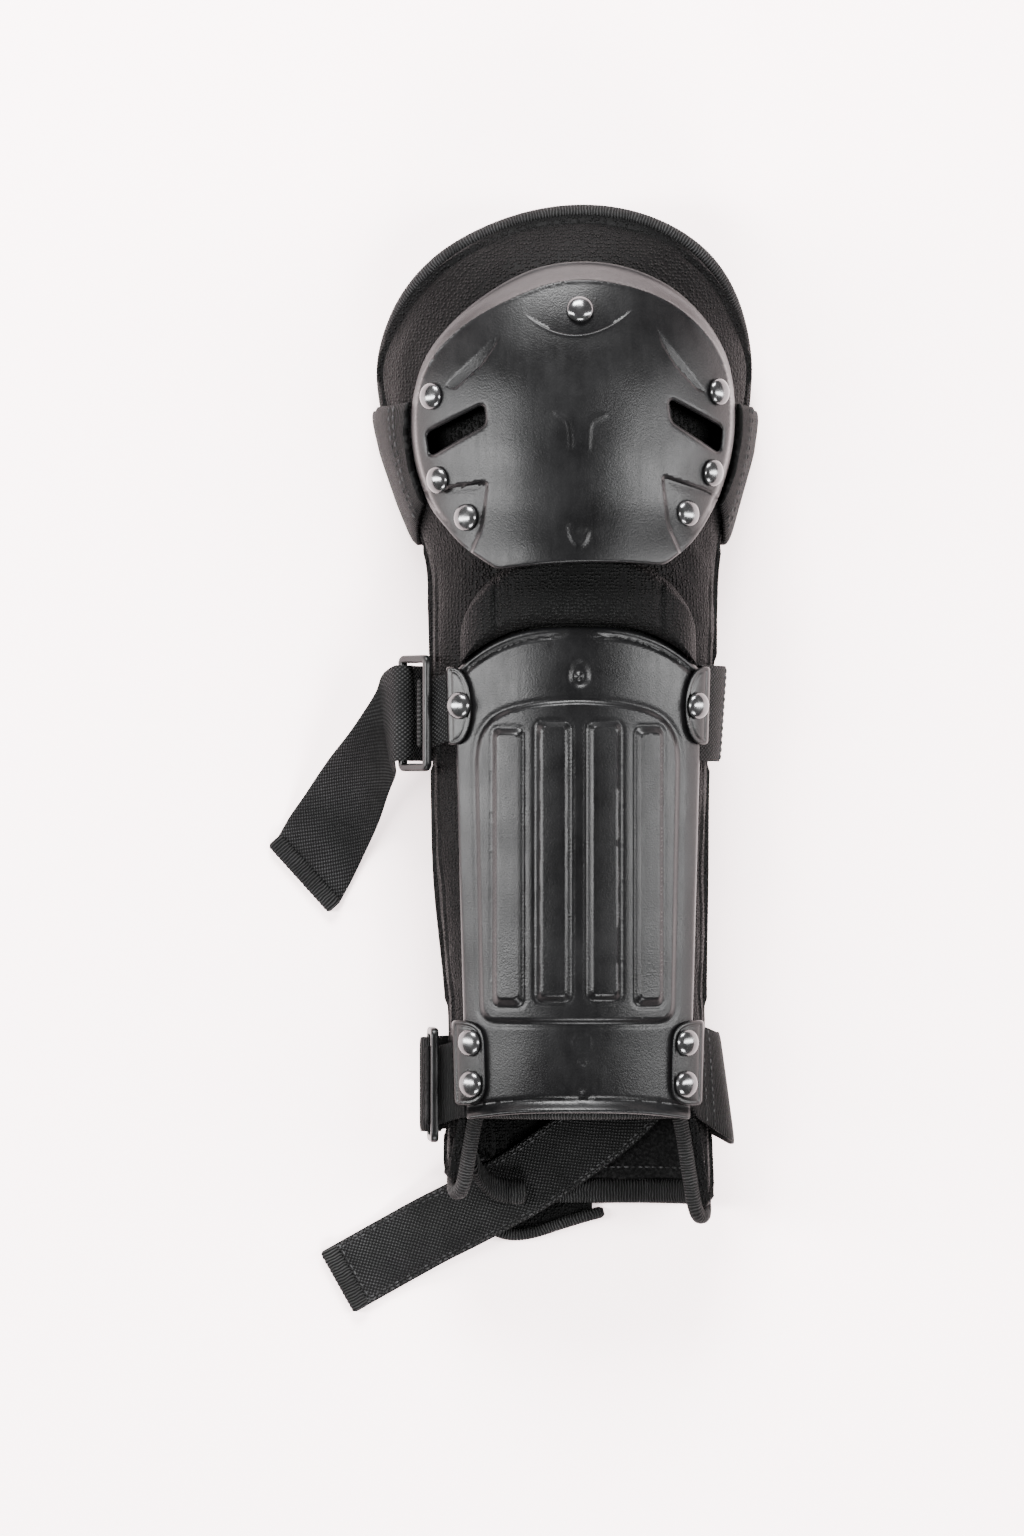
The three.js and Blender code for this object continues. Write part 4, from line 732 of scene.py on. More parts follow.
# Fine raised lines of the dome, each from its start to its end
CAP_LINES = [
    [(-8.2, 109.6), (-4.2, 107), (-3.3, 104), (-3, 97)],
    [(9.2, 109), (4.4, 107), (3.6, 104), (3.2, 97)],
    [(-3.4, 68.4), (-2.6, 64), (0.3, 60.8), (2.4, 63.6), (3.1, 66.6)],
]
CAP_LINE_RISE = (0.3, 0.3, 0.5)
CAP_MARKS = [(0, 118.5, 0, 1, 2.6, -0.35), (0.2, 65, 0, 1 / 1.5, 1.8, 0.5)]
LEAF_DEPTH = 1.7
LEAF_RUN = 5


def cap_plan(shares):
    return CAP_MIDDLE + np.asarray(shares, float) * CAP_HALF


def cap_outline():
    """Dense outline: a smooth dome line and a slightly sagging lip."""
    dots = cap_plan(CAP_OUTLINE)
    last = len(dots) - 1
    dome = []
    for i in range(last):
        p0, p1, p2, p3 = (dots[min(max(i + k, 0), last)] for k in (-1, 0, 1, 2))
        t = np.linspace(0, 1, 24, endpoint=False)[:, None]
        v0, v1 = (p2 - p0) / 2, (p3 - p1) / 2
        dome.append((2 * p1 - 2 * p2 + v0 + v1) * t ** 3
                    + (-3 * p1 + 3 * p2 - 2 * v0 - v1) * t ** 2 + v0 * t + p1)
    start, end = dots[0], dots[-1]
    middle = (start + end) / 2 + np.array([0, 2 * CAP_LIP_SAG * CAP_HALF[1]])
    lip = bow(end, middle, start, np.linspace(0, 1, 40, endpoint=False))
    line = respaced(np.vstack([*dome, lip]), 420, True)
    return smoothed(line, 6, True)


CAP_RIM = cap_outline()


def cap_flange(x, y):
    to_top = np.arctan2(y - CAP_MIDDLE[1], np.abs(x - CAP_MIDDLE[0])) / (math.pi / 2)
    return lerp(CAP_FLANGE_SIDE, CAP_FLANGE_TOP, smooth(to_top, 0.1, 0.85))


def cap_body(x, y, rim):
    """Distance of the cap's plain outside from the padded body."""
    share = (x - CAP_MIDDLE[0]) / CAP_HALF[0]
    flat = SEAT_GAP + CAP_WALL
    body = flat + CAP_LIFT * (1 - 0.5 * share * share)
    low = CAP_MIDDLE[1] - CAP_HALF[1]
    open_lip = 1 - smooth(y, low + 0.02 * CAP_LENGTH, low + CAP_OPEN_HEIGHT * CAP_LENGTH)
    t = rim / cap_flange(x, y)
    slope = np.clip((t - 0.16) / 0.84, 0, 1) ** 1.35
    top_share = smooth(y, CAP_MIDDLE[1] - 10, CAP_MIDDLE[1] + 25)
    up = lerp(smooth(t, 0, 1), slope, top_share)
    crease = 0.3 * bell(t - 1.04, 0.05) * top_share
    rise = lerp(flat, body, np.maximum(up, smooth(open_lip, 0, 0.8)))
    return rise + crease + CAP_LIP_LIFT * open_lip * open_lip


CAP_SMILE = [(-19.6, 146), (-0.6, 129.6), (19.6, 147.8)]
SMILE_DEPTH = 0.6


def smile_line(count=60):
    return bow(*np.array(CAP_SMILE, float), np.linspace(0, 1, count))


def cap_relief(places):
    """Sunk and raised detail of the dome."""
    x, y = places[:, 0], places[:, 1]
    line = smile_line()
    t = np.clip((x - line[0, 0]) / (line[-1, 0] - line[0, 0]), 0, 1)
    above = y - np.interp(x, line[:, 0], line[:, 1])
    taper = np.sin(math.pi * t) ** 0.8
    rise = -SMILE_DEPTH * taper * smooth(above, 0, 0.35) * np.exp(-np.maximum(above, 0) / 5)
    rise = rise + 0.16 * taper * bell(above + 0.25, 0.35)
    for leaf in CAP_LEAVES:
        corners = np.array(leaf)
        depth = signed(places, corners)
        along = unit(corners[1] - corners[0])
        off = np.abs((places - corners[0]) @ np.array([-along[1], along[0]]))
        rise = rise - LEAF_DEPTH * np.clip(off / LEAF_RUN, 0, 1) * smooth(depth, 0, 0.5)
    for dots, height in zip(CAP_LINES, CAP_LINE_RISE):
        near = line_distance(places, smoothed(respaced(np.array(dots, float), 24), 4))
        rise = rise + height * bell(near, 0.75)
    rise = rise + marks(x, y, CAP_MARKS)
    return rise + 0.1 * ripples(np.stack([x, y, 0 * x], -1), 26, 5)


CAP_WINDOW_LINES = [rounded(cap_plan(w), 2.2) for w in CAP_WINDOWS]
CAP_POCKET_LINES = [rounded(cap_plan(p), 2.4) for p in CAP_POCKETS]
CAP_EDGE = 1.1
WINDOW_EDGE = 1.7
POCKET_SLOPE = 0.8
POCKET_GROOVE = 0.8
CAP_THINNEST = 0.7


def cap_levels(places):
    x, y = places[:, 0], places[:, 1]
    rim = line_distance(places, CAP_RIM, True)
    body = cap_body(x, y, rim)
    outer = body + cap_relief(places) - edge_drop(rim, CAP_EDGE)
    for line in CAP_WINDOW_LINES:
        outer = outer - edge_drop(np.maximum(-signed(places, line), 0), WINDOW_EDGE)
    for line in CAP_POCKET_LINES:
        depth = signed(places, line)
        outer = outer - CAP_POCKET_DEPTH * smooth(depth, -0.3, POCKET_SLOPE)
        outer = outer - POCKET_GROOVE * smooth(depth, 0, 1.2) * np.exp(-np.maximum(depth, 0) / 2.5)
    return np.maximum(outer, body - CAP_WALL + CAP_THINNEST), body - CAP_WALL


def cap_creases():
    creases = [(inset(CAP_RIM, d), True) for d in (0.35, 0.75, 1.15)]
    flange = inset(CAP_RIM, cap_flange(*CAP_RIM.T)[:, None])
    upper = flange[flange[:, 1] > CAP_MIDDLE[1] - 4]
    start = np.argmax(np.linalg.norm(np.diff(upper, axis=0), axis=1)) + 1
    if np.linalg.norm(upper[start] - upper[start - 1]) > 5:
        upper = np.roll(upper, -start, 0)
    creases.append((upper, False))
    for line in CAP_WINDOW_LINES:
        creases += [(inset(line, -d), True) for d in (0.4, 0.85, 1.3)]
    for line in CAP_POCKET_LINES:
        creases += [(inset(line, d), True) for d in (-0.3, 0, 0.8)]
    smile = smile_line()
    creases += [(smile + (0, d), False) for d in (-0.75, -0.35, 0, 0.35)]
    for leaf in CAP_LEAVES:
        edge = respaced(np.array(leaf), 60, True)
        creases += [(edge, True), (inset(smoothed(edge, 2, True), 0.5), True)]
    return creases


points, faces = moulded(CAP_RIM, CAP_WINDOW_LINES, cap_creases(), cap_levels, 0.85)
piece("cap", points, faces, SHELL_PLASTIC, ["elbow_cap"], sharp=50)

# Forearm shell

SHELL_TOP = 0.181 * SHELL_LENGTH
SHELL_BOTTOM = SHELL_TOP - SHELL_LENGTH
SHELL_TOP_ARCH = 17
SHELL_BOTTOM_ARCH = 3.4
ARCH_POWER = 2.8
SHELL_OUTER = SEAT_GAP + SHELL_WALL
# Ribs: left, right, low and high ends of the foot and of the face on top of it
RIBS = [
    ((-31.5, -20.2, -107, -5.1), (-29.9, -22.4, -104.4, -7.2)),
    ((-15.6, -2.8, -105.3, -2.8), (-13.6, -4.9, -103, -4.5)),
    ((3.1, 15.6, -104.8, -2.8), (5.3, 14.2, -102.6, -4.5)),
    ((20.5, 31, -106.8, -4.6), (22.9, 30, -104.4, -6.8)),
]
PANEL = [
    (-35.4, -112.5), (34.8, -112.5), (36.6, -14), (34.8, -5.4), (28, 0.6), (15, 3.6), (0, 4.6),
    (-15, 3.6), (-28, 0.8), (-35, -4.6), (-37.4, -13.5),
]


# The recess on the middle line, and the small marks below the ribs
TEAR = (0.5, 13.6)
TEAR_DEPTH = 0.9
TEAR_KNOB = 1.3
SHELL_MARKS = [
    (1.1, -120.6, 3, 1, 0.45, 0.22), (1.5, -127.7, 0, 1.6, 1.7, 0.5), (1.5, -139.7, 0, 1, 1.8, -0.7),
]
SHELL_SCRATCH = np.array([(7.2, -134.6), (5.2, -141.2)])
FLARE_START = 0.8
FLARE_END = 4.3


def shell_half(y):
    along = np.clip((y - SHELL_BOTTOM) / SHELL_LENGTH, 0, 1)
    return lerp(SHELL_WRIST_WIDTH, SHELL_TOP_WIDTH, along) / 2


def arch(share, depth):
    return -depth * np.abs(share) ** ARCH_POWER


def shell_outline():
    share = np.linspace(-1, 1, 140)
    top = np.stack([share * SHELL_TOP_WIDTH / 2, SHELL_TOP + arch(share, SHELL_TOP_ARCH)], -1)
    low = np.stack([share * SHELL_WRIST_WIDTH / 2,
                    SHELL_BOTTOM + arch(share, SHELL_BOTTOM_ARCH)], -1)
    ys = np.linspace(top[-1, 1], low[-1, 1], 220)[1:-1]
    right = np.stack([shell_half(ys), ys], -1)
    left = right[::-1] * (-1, 1)
    line = np.vstack([top, right, low[::-1], left])
    return smoothed(respaced(line, 620, True), 5, True)


SHELL_RIM = shell_outline()


def box_line(left, right, low, high, radius=2.4):
    return rounded([(left, low), (right, low), (right, high), (left, high)], radius)


RIB_LINES = [(box_line(*foot, 2.8), box_line(*face, 1.6)) for foot, face in RIBS]
PANEL_LINE = smoothed(rounded(PANEL, 5), 8, True)
SHELL_EDGE = 1.0


def shell_flare(low):
    """Rise of the shell's wrist end, from the height above its edge."""
    return SHELL_FLARE * (1 - smooth(low, FLARE_START, FLARE_END))


def shell_relief(places, share):
    x, y = places[:, 0], places[:, 1]
    low = y - (SHELL_BOTTOM + arch(share, SHELL_BOTTOM_ARCH))
    high = SHELL_TOP + arch(share, SHELL_TOP_ARCH) - y
    panel = signed(places, PANEL_LINE)
    rise = PANEL_RISE * smooth(panel, -0.5, 0.7) - 0.35 * bell(panel + 1.3, 0.8)
    for foot, face in RIB_LINES:
        near = (np.abs(x - foot[:, 0].mean()) < 10) & (np.abs(y + 55) < 60)
        spot = places[near]
        down, up = signed(spot, foot), signed(spot, face)
        wall_share = np.clip(down / np.maximum(down - up, 1e-6), 0, 1)
        lift = RIB_RISE * np.where(up > 0, 1, np.where(down > 0, wall_share, 0))
        rise[near] += lift - 0.35 * bell(down + 0.5, 0.5)
    rise = rise + shell_flare(low) - 0.6 * bell(low - 5, 0.75)
    side = smooth(1 - np.abs(share), 0.02, 0.12)
    broken = smooth(np.abs(x + 0.5), 4.5, 10)
    rise = rise - 0.8 * bell(high - 3.6, 0.7) * side * broken
    rise = rise + 0.35 * bell(high - 1.6, 1.2)
    rise = rise + 0.35 * bell(high - 3.2, 0.5) * (1 - smooth(np.abs(x + 0.6), 3, 5))
    tear = np.hypot(x - TEAR[0], (y - TEAR[1]) * np.where(y > TEAR[1], 0.55, 1.0))
    rise = rise - TEAR_DEPTH * (1 - smooth(tear, 2.3, 4.4))
    rise = rise + TEAR_KNOB * (1 - smooth(np.hypot(x, y - 14), 0.5, 1.8))
    rise = rise + marks(x, y, SHELL_MARKS)
    rise = rise - 0.18 * bell(line_distance(places, SHELL_SCRATCH), 0.4)
    return rise + 0.08 * ripples(np.stack([x, y, 0 * x], -1), 30, 9)


def shell_levels(places):
    share = np.clip(places[:, 0] / shell_half(places[:, 1]), -1, 1)
    rim = line_distance(places, SHELL_RIM, True)
    low = places[:, 1] - (SHELL_BOTTOM + arch(share, SHELL_BOTTOM_ARCH))
    outer = SHELL_OUTER + shell_relief(places, share) - edge_drop(rim, SHELL_EDGE)
    inner = SEAT_GAP + shell_flare(low)
    return outer, inner


def shell_creases():
    creases = [(inset(SHELL_RIM, d), True) for d in (0.3, 0.65, 1.05)]
    creases += [(inset(PANEL_LINE, d), True) for d in (-0.5, 0.1, 0.7)]
    for foot, face in RIB_LINES:
        creases += [(foot, True), (face, True)]
    return creases


points, faces = moulded(SHELL_RIM, [], shell_creases(), shell_levels, 0.85)
piece("shell", points, faces, SHELL_PLASTIC, ["forearm_shell"], sharp=50)

# Tabs and plates riveted to the shell's side edges

UPPER_OVERHANG = 3
LOWER_OVERHANG = 4.4
TAB_INNER = SHELL_OUTER + SEAT_GAP
TAB_OUTER = TAB_INNER + TAB_WALL
UPPER_TAB_Y = 0.018 * ELBOW_REACH
PLATE_INSET = 2
LOWER_PLATE_Y = SHELL_BOTTOM + PLATE_INSET + LOWER_PLATE_LENGTH / 2
PLATE_RIVET_PITCH = 15.2
TAB_ROUNDING = 16


def make_tab(name, node, side, middle, length, depth, overhang, square):
    v = (1 - np.cos(np.linspace(0, math.pi, 60))) / 2
    reach = depth * (0.3 + 0.7 * (1 - np.abs(2 * v - 1) ** square) ** 0.5)
    ys = middle + (v - 0.5) * length
    edge = shell_half(ys) + overhang
    outer = np.stack([edge, ys], -1)
    inner = np.stack([edge - reach, ys], -1)
    outline = np.vstack([outer, inner[::-1]]) * (side, 1)
    outline = smoothed(respaced(outline, 170, True), TAB_ROUNDING, True)

    def levels(places):
        rim = line_distance(places, outline, True)
        top = TAB_OUTER - edge_drop(rim, 0.8) - 0.22 * bell(rim - 1.7, 0.35)
        return top, np.full(len(places), TAB_INNER)

    creases = [(inset(outline, d), True) for d in (0.3, 0.8, 1.35, 1.7, 2.05)]
    points, faces = moulded(outline, [], creases, levels, 0.8)
    piece(name, points, faces, TAB_PLASTIC, [node], sharp=50)


for name, side in (("left", -1), ("right", 1)):
    make_tab(f"upper_tab_{name}", f"tab_upper_{name}", side, UPPER_TAB_Y, UPPER_TAB_LENGTH,
             UPPER_TAB_DEPTH, UPPER_OVERHANG, 2)
    make_tab(f"lower_plate_{name}", f"plate_lower_{name}", side, LOWER_PLATE_Y,
             LOWER_PLATE_LENGTH, LOWER_PLATE_DEPTH, LOWER_OVERHANG, 6)

# Rivets

RIVET_PROFILE = np.array([
    (0, 0), (4.4, 0), (4.8, 0.12), (4.97, 0.4), (5, 0.75), (4.9, 1.15), (4.68, 1.55), (4.3, 1.97),
    (3.8, 2.33), (3.15, 2.66), (2.4, 2.9), (1.6, 3.08), (0.8, 3.17), (0, 3.2),
])
RIVET_SIDES = 40


def make_rivet(name, node, seat):
    place, normal = seat
    across = unit(np.cross(normal, (0.0, 1.0, 0.0)))
    ahead = np.cross(normal, across)
    turn = np.arange(RIVET_SIDES) * 2 * math.pi / RIVET_SIDES
    radius, height = RIVET_PROFILE[1:-1].T
    ring = np.cos(turn)[:, None] * across + np.sin(turn)[:, None] * ahead
    rings = place + radius[:, None, None] * ring + height[:, None, None] * normal
    points = np.vstack([rings.reshape(-1, 3), place, place + RIVET_HEIGHT * normal])
    index = np.arange(len(radius) * RIVET_SIDES).reshape(len(radius), -1)
    index = np.hstack([index, index[:, :1]])
    faces = quad_faces(index).tolist()
    base, tip = len(points) - 2, len(points) - 1
    faces += [(base, int(b), int(a)) for a, b in zip(index[0], index[0][1:])]
    faces += [(tip, int(a), int(b)) for a, b in zip(index[-1], index[-1][1:])]
    piece(name, points, faces, RIVET_METAL, [node])


def cap_plain(x, y):
    places = np.stack([x, y], -1)
    return cap_body(x, y, line_distance(places, CAP_RIM, True))


for i, (x, y, sunk) in enumerate(CAP_RIVETS):
    place = cap_plan((x, y))
    seat = seat_on(*place, lambda a, b, d=sunk: cap_plain(a, b) - CAP_POCKET_DEPTH * d)
    make_rivet(f"rivet_{i + 1}", f"cap_rivet_{i + 1}", seat)


def on_tab(x, _y):
    return np.full(np.shape(x), TAB_OUTER)


for k, (name, side) in enumerate((("left", -1), ("right", 1))):
    x = side * (shell_half(UPPER_TAB_Y) + UPPER_OVERHANG - 0.52 * UPPER_TAB_DEPTH)
    make_rivet(f"upper_rivet_{name}", f"tab_rivet_{name}", seat_on(x, UPPER_TAB_Y, on_tab))
    for i, end in enumerate((1, -1)):
        y = LOWER_PLATE_Y + end * PLATE_RIVET_PITCH / 2
        x = side * (shell_half(y) + LOWER_OVERHANG - 0.56 * LOWER_PLATE_DEPTH)
        number = 2 * k + i + 1
        make_rivet(f"lower_rivet_{number}", f"plate_rivet_{number}", seat_on(x, y, on_tab))

# Front pad

LIP_COVER = 3
CUT_START = 55
CUT_END = 73
ROUND_START = 76
LEFT_CORNER_RISE = 9


def pad_wrist_end(angle, edge):
    turned = np.abs(angle)
    corner = -WRIST_REACH + np.where(angle < 0, LEFT_CORNER_RISE, 0)
    cut = smooth(turned, math.radians(CUT_START), math.radians(CUT_END))
    start = math.radians(ROUND_START)
    bend = np.clip((turned - start) / (edge - start), 0, 1)
    lift = SIDE_CORNER_RADIUS * (1 - np.sqrt(1 - bend * bend))
    return lerp(SHELL_BOTTOM + LIP_COVER, corner, cut) + lift


def pad_elbow_end(share):
    shoulder = ELBOW_SHOULDER * ELBOW_REACH
    edge = section(shoulder)[0]
    across = np.sin(share * edge) / np.sin(edge)
    return shoulder + (ELBOW_REACH - shoulder) * np.sqrt(np.maximum(1 - across ** 2, 0))


def pad_point(share, along, distance):
    """share: from one side edge to the other; along: from the wrist to the elbow."""
    wrist = section(-WRIST_REACH)[0]
    y = lerp(pad_wrist_end(share * wrist, wrist), pad_elbow_end(share), along)
    return outside(y, share * section(y)[0], distance)


def pad_edge():
    """Closed line of the pad's edge through the middle of its wall, with its directions."""
    middle = np.array(-PAD_WALL / 2)
    bend = np.sin(np.linspace(-math.pi / 2, math.pi / 2, 260))
    side = np.linspace(0, 1, 320)[1:-1]
    low, along = np.zeros(260), np.ones(260)
    runs = [(bend, low), (1 + 0 * side, side), (bend[::-1], along), (-1 + 0 * side, side[::-1])]
    parts = [pad_point(share, v, middle) for share, v in runs]
    return np.vstack([p for p, _ in parts]), np.vstack([n for _, n in parts])


PAD_EDGE, PAD_EDGE_UP = pad_edge()
PIPING_IN = 2.4
# Where straps cross the edge: middle and half width
STRAP_BANDS = [(0.7, 18), (0.48 * ELBOW_REACH + 4, 29), (-131, 22)]
SEAM_SHARE = 0.83


def pad_relief(points, share):
    """Foam, seams and piping of the pad's outside."""
    tree = search_tree(PAD_EDGE)
    rim = np.array([tree.find(p)[2] for p in points.reshape(-1, 3)]).reshape(share.shape)
    y = points[..., 1]
    rim = np.sqrt(np.maximum(rim ** 2 - (PAD_WALL / 2) ** 2, 0))
    room = 1
    for middle, half in STRAP_BANDS:
        room = room * smooth(np.abs(y - middle) - half, 0.5, 4)
    piping = lerp(0.35, 1.3, room) * bell(rim - PIPING_IN, 0.75)
    piping = piping - 1.1 * bell(rim - PIPING_IN - 2, 0.9) - 1.1 * bell(rim - 0.5, 0.8)
    piping = piping - edge_drop(np.maximum(rim, 0), 1.4)
    seam = (1 - smooth(y, 45, 60)) * smooth(rim, 3, 6)
    side = np.abs(share) - SEAM_SHARE
    rise = seam * (0.4 * bell(side, 0.011) - 0.45 * bell(side + 0.028, 0.014))
    soft = smooth(rim, 2, 9)
    bend = bell(y - 62, 26)
    folds = ripples(points * (1, 2.6, 1), 34, 21)
    rise = rise + soft * (0.35 * ripples(points, 42, 3) + 0.16 * ripples(points, 15, 4))
    return np.minimum(rise + soft * 0.5 * bend * folds, 0.42) + piping


def make_pad():
    share = np.sin(np.linspace(-math.pi / 2, math.pi / 2, 190))
    along = np.linspace(0, 1, 215)
    share, along = np.meshgrid(share, along)
    outer, normal = pad_point(share, along, np.array(0.0))
    inner, _ = pad_point(share, along, np.array(-PAD_WALL))
    outer = outer + normal * pad_relief(outer, share)[..., None]
    points, faces = wall(outer, inner)
    front_pad = piece("pad", points, faces.tolist(), PAD_CLOTH, ["front_pad"])


make_pad()


def beside_edge(distance, pitch):
    """Even line beside the pad's edge, with the directions across and away from the pad."""
    ahead = np.roll(PAD_EDGE, -1, 0) - np.roll(PAD_EDGE, 1, 0)
    wide = unit(np.cross(ahead, PAD_EDGE_UP))
    line = smoothed(PAD_EDGE + wide * distance, 3, True)
    count = int(lengths(line)[-1] / pitch)
    line, wide, high = respaced(line, count, True, (smoothed(wide, 6, True), PAD_EDGE_UP))
    return line, unit(wide), unit(high)


def ribs(line, pitch, size):
    """Swelling of a roll at even steps along its line."""
    return 1 + size * np.sin(2 * math.pi * lengths(line) / pitch)


def end_taper(line, reach, drop):
    """Size of a roll that gets smaller near both of its ends."""
    at = lengths(line)
    end = np.clip(np.minimum(at, at[-1] - at) / reach, 0, 1)
    return 1 - drop * (1 - end) ** 2


BINDING_REACH = EDGE_GAP + BINDING_WIDTH
line, wide, high = beside_edge(BINDING_REACH / 2, 0.36)
points, faces, run = roll(
    line, wide, high, BINDING_REACH, BINDING_WIDTH, 12, True, 0.8, ribs(line, 1.08, 0.03))
piece("binding", points, faces, BINDING_CLOTH, ["pad_binding"], run)

# Stitches


def stitch(place, ahead, side, up, length=1.7, width=0.65, height=0.5):
    """Points and faces of one thread stitch."""
    t = np.linspace(0, math.pi, 6)[1:-1]
    turn = np.arange(6) * math.pi / 3
    rings = (
        place
        + (np.cos(t) * length / 2)[:, None, None] * ahead
        + (np.sin(t)[:, None] * np.cos(turn))[..., None] * side * width / 2
        + (np.sin(t)[:, None] * np.sin(turn))[..., None] * up * height / 2
    )
    reach = ahead * length / 2
    points = np.vstack([rings.reshape(-1, 3), place + reach, place - reach])
    faces = []
    for i in range(3):
        for j in range(6):
            k = (j + 1) % 6
            faces.append((i * 6 + j, i * 6 + k, i * 6 + 6 + k, i * 6 + 6 + j))
    faces += [(24, (j + 1) % 6, j) for j in range(6)]
    faces += [(25, 18 + j, 18 + (j + 1) % 6) for j in range(6)]
    volume = np.dot(ahead, np.cross(side, up))
    return points, faces if volume > 0 else [f[::-1] for f in faces]


def stitch_line(line, up, pitch=2.6, **size):
    """Stitches at even steps along a line on a surface."""
    count = max(int(lengths(line)[-1] / pitch), 1)
    line, up = respaced(line, 2 * count, False, (up,))
    parts = []
    for i in range(1, 2 * count, 2):
        ahead = unit(line[i + 1] - line[i - 1])
        side = unit(np.cross(up[i], ahead))
        parts.append(stitch(line[i], ahead, side, unit(np.cross(ahead, side)), **size))
    return parts


def with_stitches(points, faces, parts):
    """The mesh with stitches added to it."""
    faces = faces.tolist()
    for stitch_points, stitch_faces in parts:
        start = len(points)
        points = np.vstack([points, stitch_points])
        faces += [tuple(start + i for i in face) for face in stitch_faces]
    return points, faces


# Rear wrap and its hem at the wrist

WRAP_END = -WRIST_REACH + HEM_WIDTH + GAP
SLIT = 3
SEWN_IN = 1.4
HEM_STITCH_ROW = 3
HEM_SPLIT = -0.19 * FOREARM_WIDTH
HEM_SIDE_TURN = 107
HEM_LINE = -WRIST_REACH + HEM_WIDTH / 2 - GAP


def wrap_start(y, side):
    """Angle where the wrap starts, beside the binding."""
    clear = BINDING_REACH - 0.2
    turn = np.arange(60) * 0.005
    angle = section(y)[0][..., None] + turn
    line = form(np.broadcast_to(y[..., None], angle.shape), side * angle)
    steps = np.linalg.norm(np.diff(line, axis=-2), axis=-1)
    return section(y)[0] + 0.005 * (1 + np.sum(np.cumsum(steps, -1) < clear, -1))


def wrap_point(y, share, distance):
    side = np.where(share < 0, -1, 1)
    angle = side * lerp(math.pi, np.where(
        share < 0, wrap_start(y, -1), wrap_start(y, 1)), np.abs(share))
    return outside(y, angle, distance)


def make_wrap():
    """Rear wrap with a slack lining, one row of stitches and fuzzy cloth on its right."""
    share, along = np.meshgrid(np.linspace(-1, 1, 150), np.linspace(0, 1, 130))
    low_end = WRAP_END - SEWN_IN + SLIT * smooth(-share, 0.1, 0.4)
    y = lerp(low_end, WRAP_END + WRAP_LENGTH, along)
    outer, normal = wrap_point(y, share, np.array(0.0))
    inner, _ = wrap_point(y, share, np.array(-WRAP_WALL))
    edge = np.minimum(1 - np.abs(share), 4 * np.minimum(along, 1 - along))
    slack = 0.28 * smooth(edge, 0, 0.12) * ripples(outer, 30, 12)
    thin = 1 - 0.35 * np.exp(-edge / 0.02)
    middle = (outer + inner) / 2
    outer = middle + (outer - middle) * thin[..., None]
    inner = middle + (inner - middle) * thin[..., None] + normal * slack[..., None]
    points, faces = wall(outer, inner)
    cloth, inside = len(faces), points[faces].mean(1)
    row = HEM_STITCH_ROW
    parts = stitch_line(inner[row, 10:-10], -normal[row, 10:-10], length=1.9, width=0.8, height=0.7)
    points, faces = with_stitches(points, faces, parts)
    rear_wrap = piece("wrap", points, faces, PAD_CLOTH, ["rear_wrap"], sewn=cloth)
    rear_wrap.data.materials.append(LOOP_CLOTH)
    count = (share.shape[0] - 1) * (share.shape[1] - 1)
    lining = np.zeros(len(faces), np.int32)
    lining[cloth:] = 1
    lining[count : 2 * count] = 2 * (inside[count : 2 * count, 0] > -12)
    rear_wrap.data.polygons.foreach_set("material_index", lining)


make_wrap()


def back_share_angle(x):
    _, left, right, shift, _, _ = section(HEM_LINE)
    radius = left if x < shift else right
    return math.pi - math.copysign(math.asin((abs(x) / radius) ** (1 / BACK_SQUARE)), x)


def make_hem(name, node, angle, y, raise_by, seed):
    place, high = outside(y, angle, np.array(-WRAP_WALL / 2))
    line = place - high * np.asarray(raise_by)[..., None]
    count = int(lengths(line)[-1] / 0.5)
    line, high = respaced(line, count, False, (high,))
    wide = np.tile((0.0, 1.0, 0.0), (len(line), 1))
    taper = end_taper(line, 2.5, 0.35) * ribs(line, 1.3, 0.02)
    high = unit(high)
    line = line + high * (0.25 * ripples(line, 18, seed))[:, None]
    points, faces, run = roll(
        line, wide, high, HEM_WIDTH - 2 * GAP, HEM_THICKNESS, 20, False, 0.75, taper)
    piece(name, points, faces, BINDING_CLOTH, [node], run)


hem_angle = np.linspace(
    math.radians(HEM_SIDE_TURN), 2 * math.pi - back_share_angle(-HEM_SPLIT), 120)
make_hem("hem", "wrap_hem", hem_angle, np.full(120, HEM_LINE), np.zeros(120), 31)

HEM_TOP = REST + WRAP_WALL / 2 + HEM_THICKNESS / 2
HEM_LIFT = HEM_TOP + 3.5 * GAP + STRAP_WALL + HEM_THICKNESS / 2 - (REST + WRAP_WALL / 2)
HEM_LEFT_CLIMB = 13
t = np.linspace(0, 1, 90)
hem_angle = -lerp(back_share_angle(-HEM_SPLIT), math.radians(HEM_SIDE_TURN + 9), t)
make_hem("hem_left", "wrap_hem_left", hem_angle, HEM_LINE + HEM_LEFT_CLIMB * t ** 2.2,
         lerp(HEM_LIFT, 0.72 * HEM_LIFT, t), 32)

# Under flap below the hem

FLAP_WALL = 2.5
FLAP_ROLL = 4.4
FLAP_TOP = HEM_LINE - HEM_WIDTH / 2 + GAP
# across: share of FOREARM_WIDTH; out: share of HEM_WIDTH
FLAP_LINE = np.array([
    (-0.365, 0.12), (-0.345, 0.5), (-0.3, 0.83), (-0.24, 0.98), (-0.165, 0.9), (-0.07, 0.6),
    (0.02, 0.32), (0.1, 0.1),
])


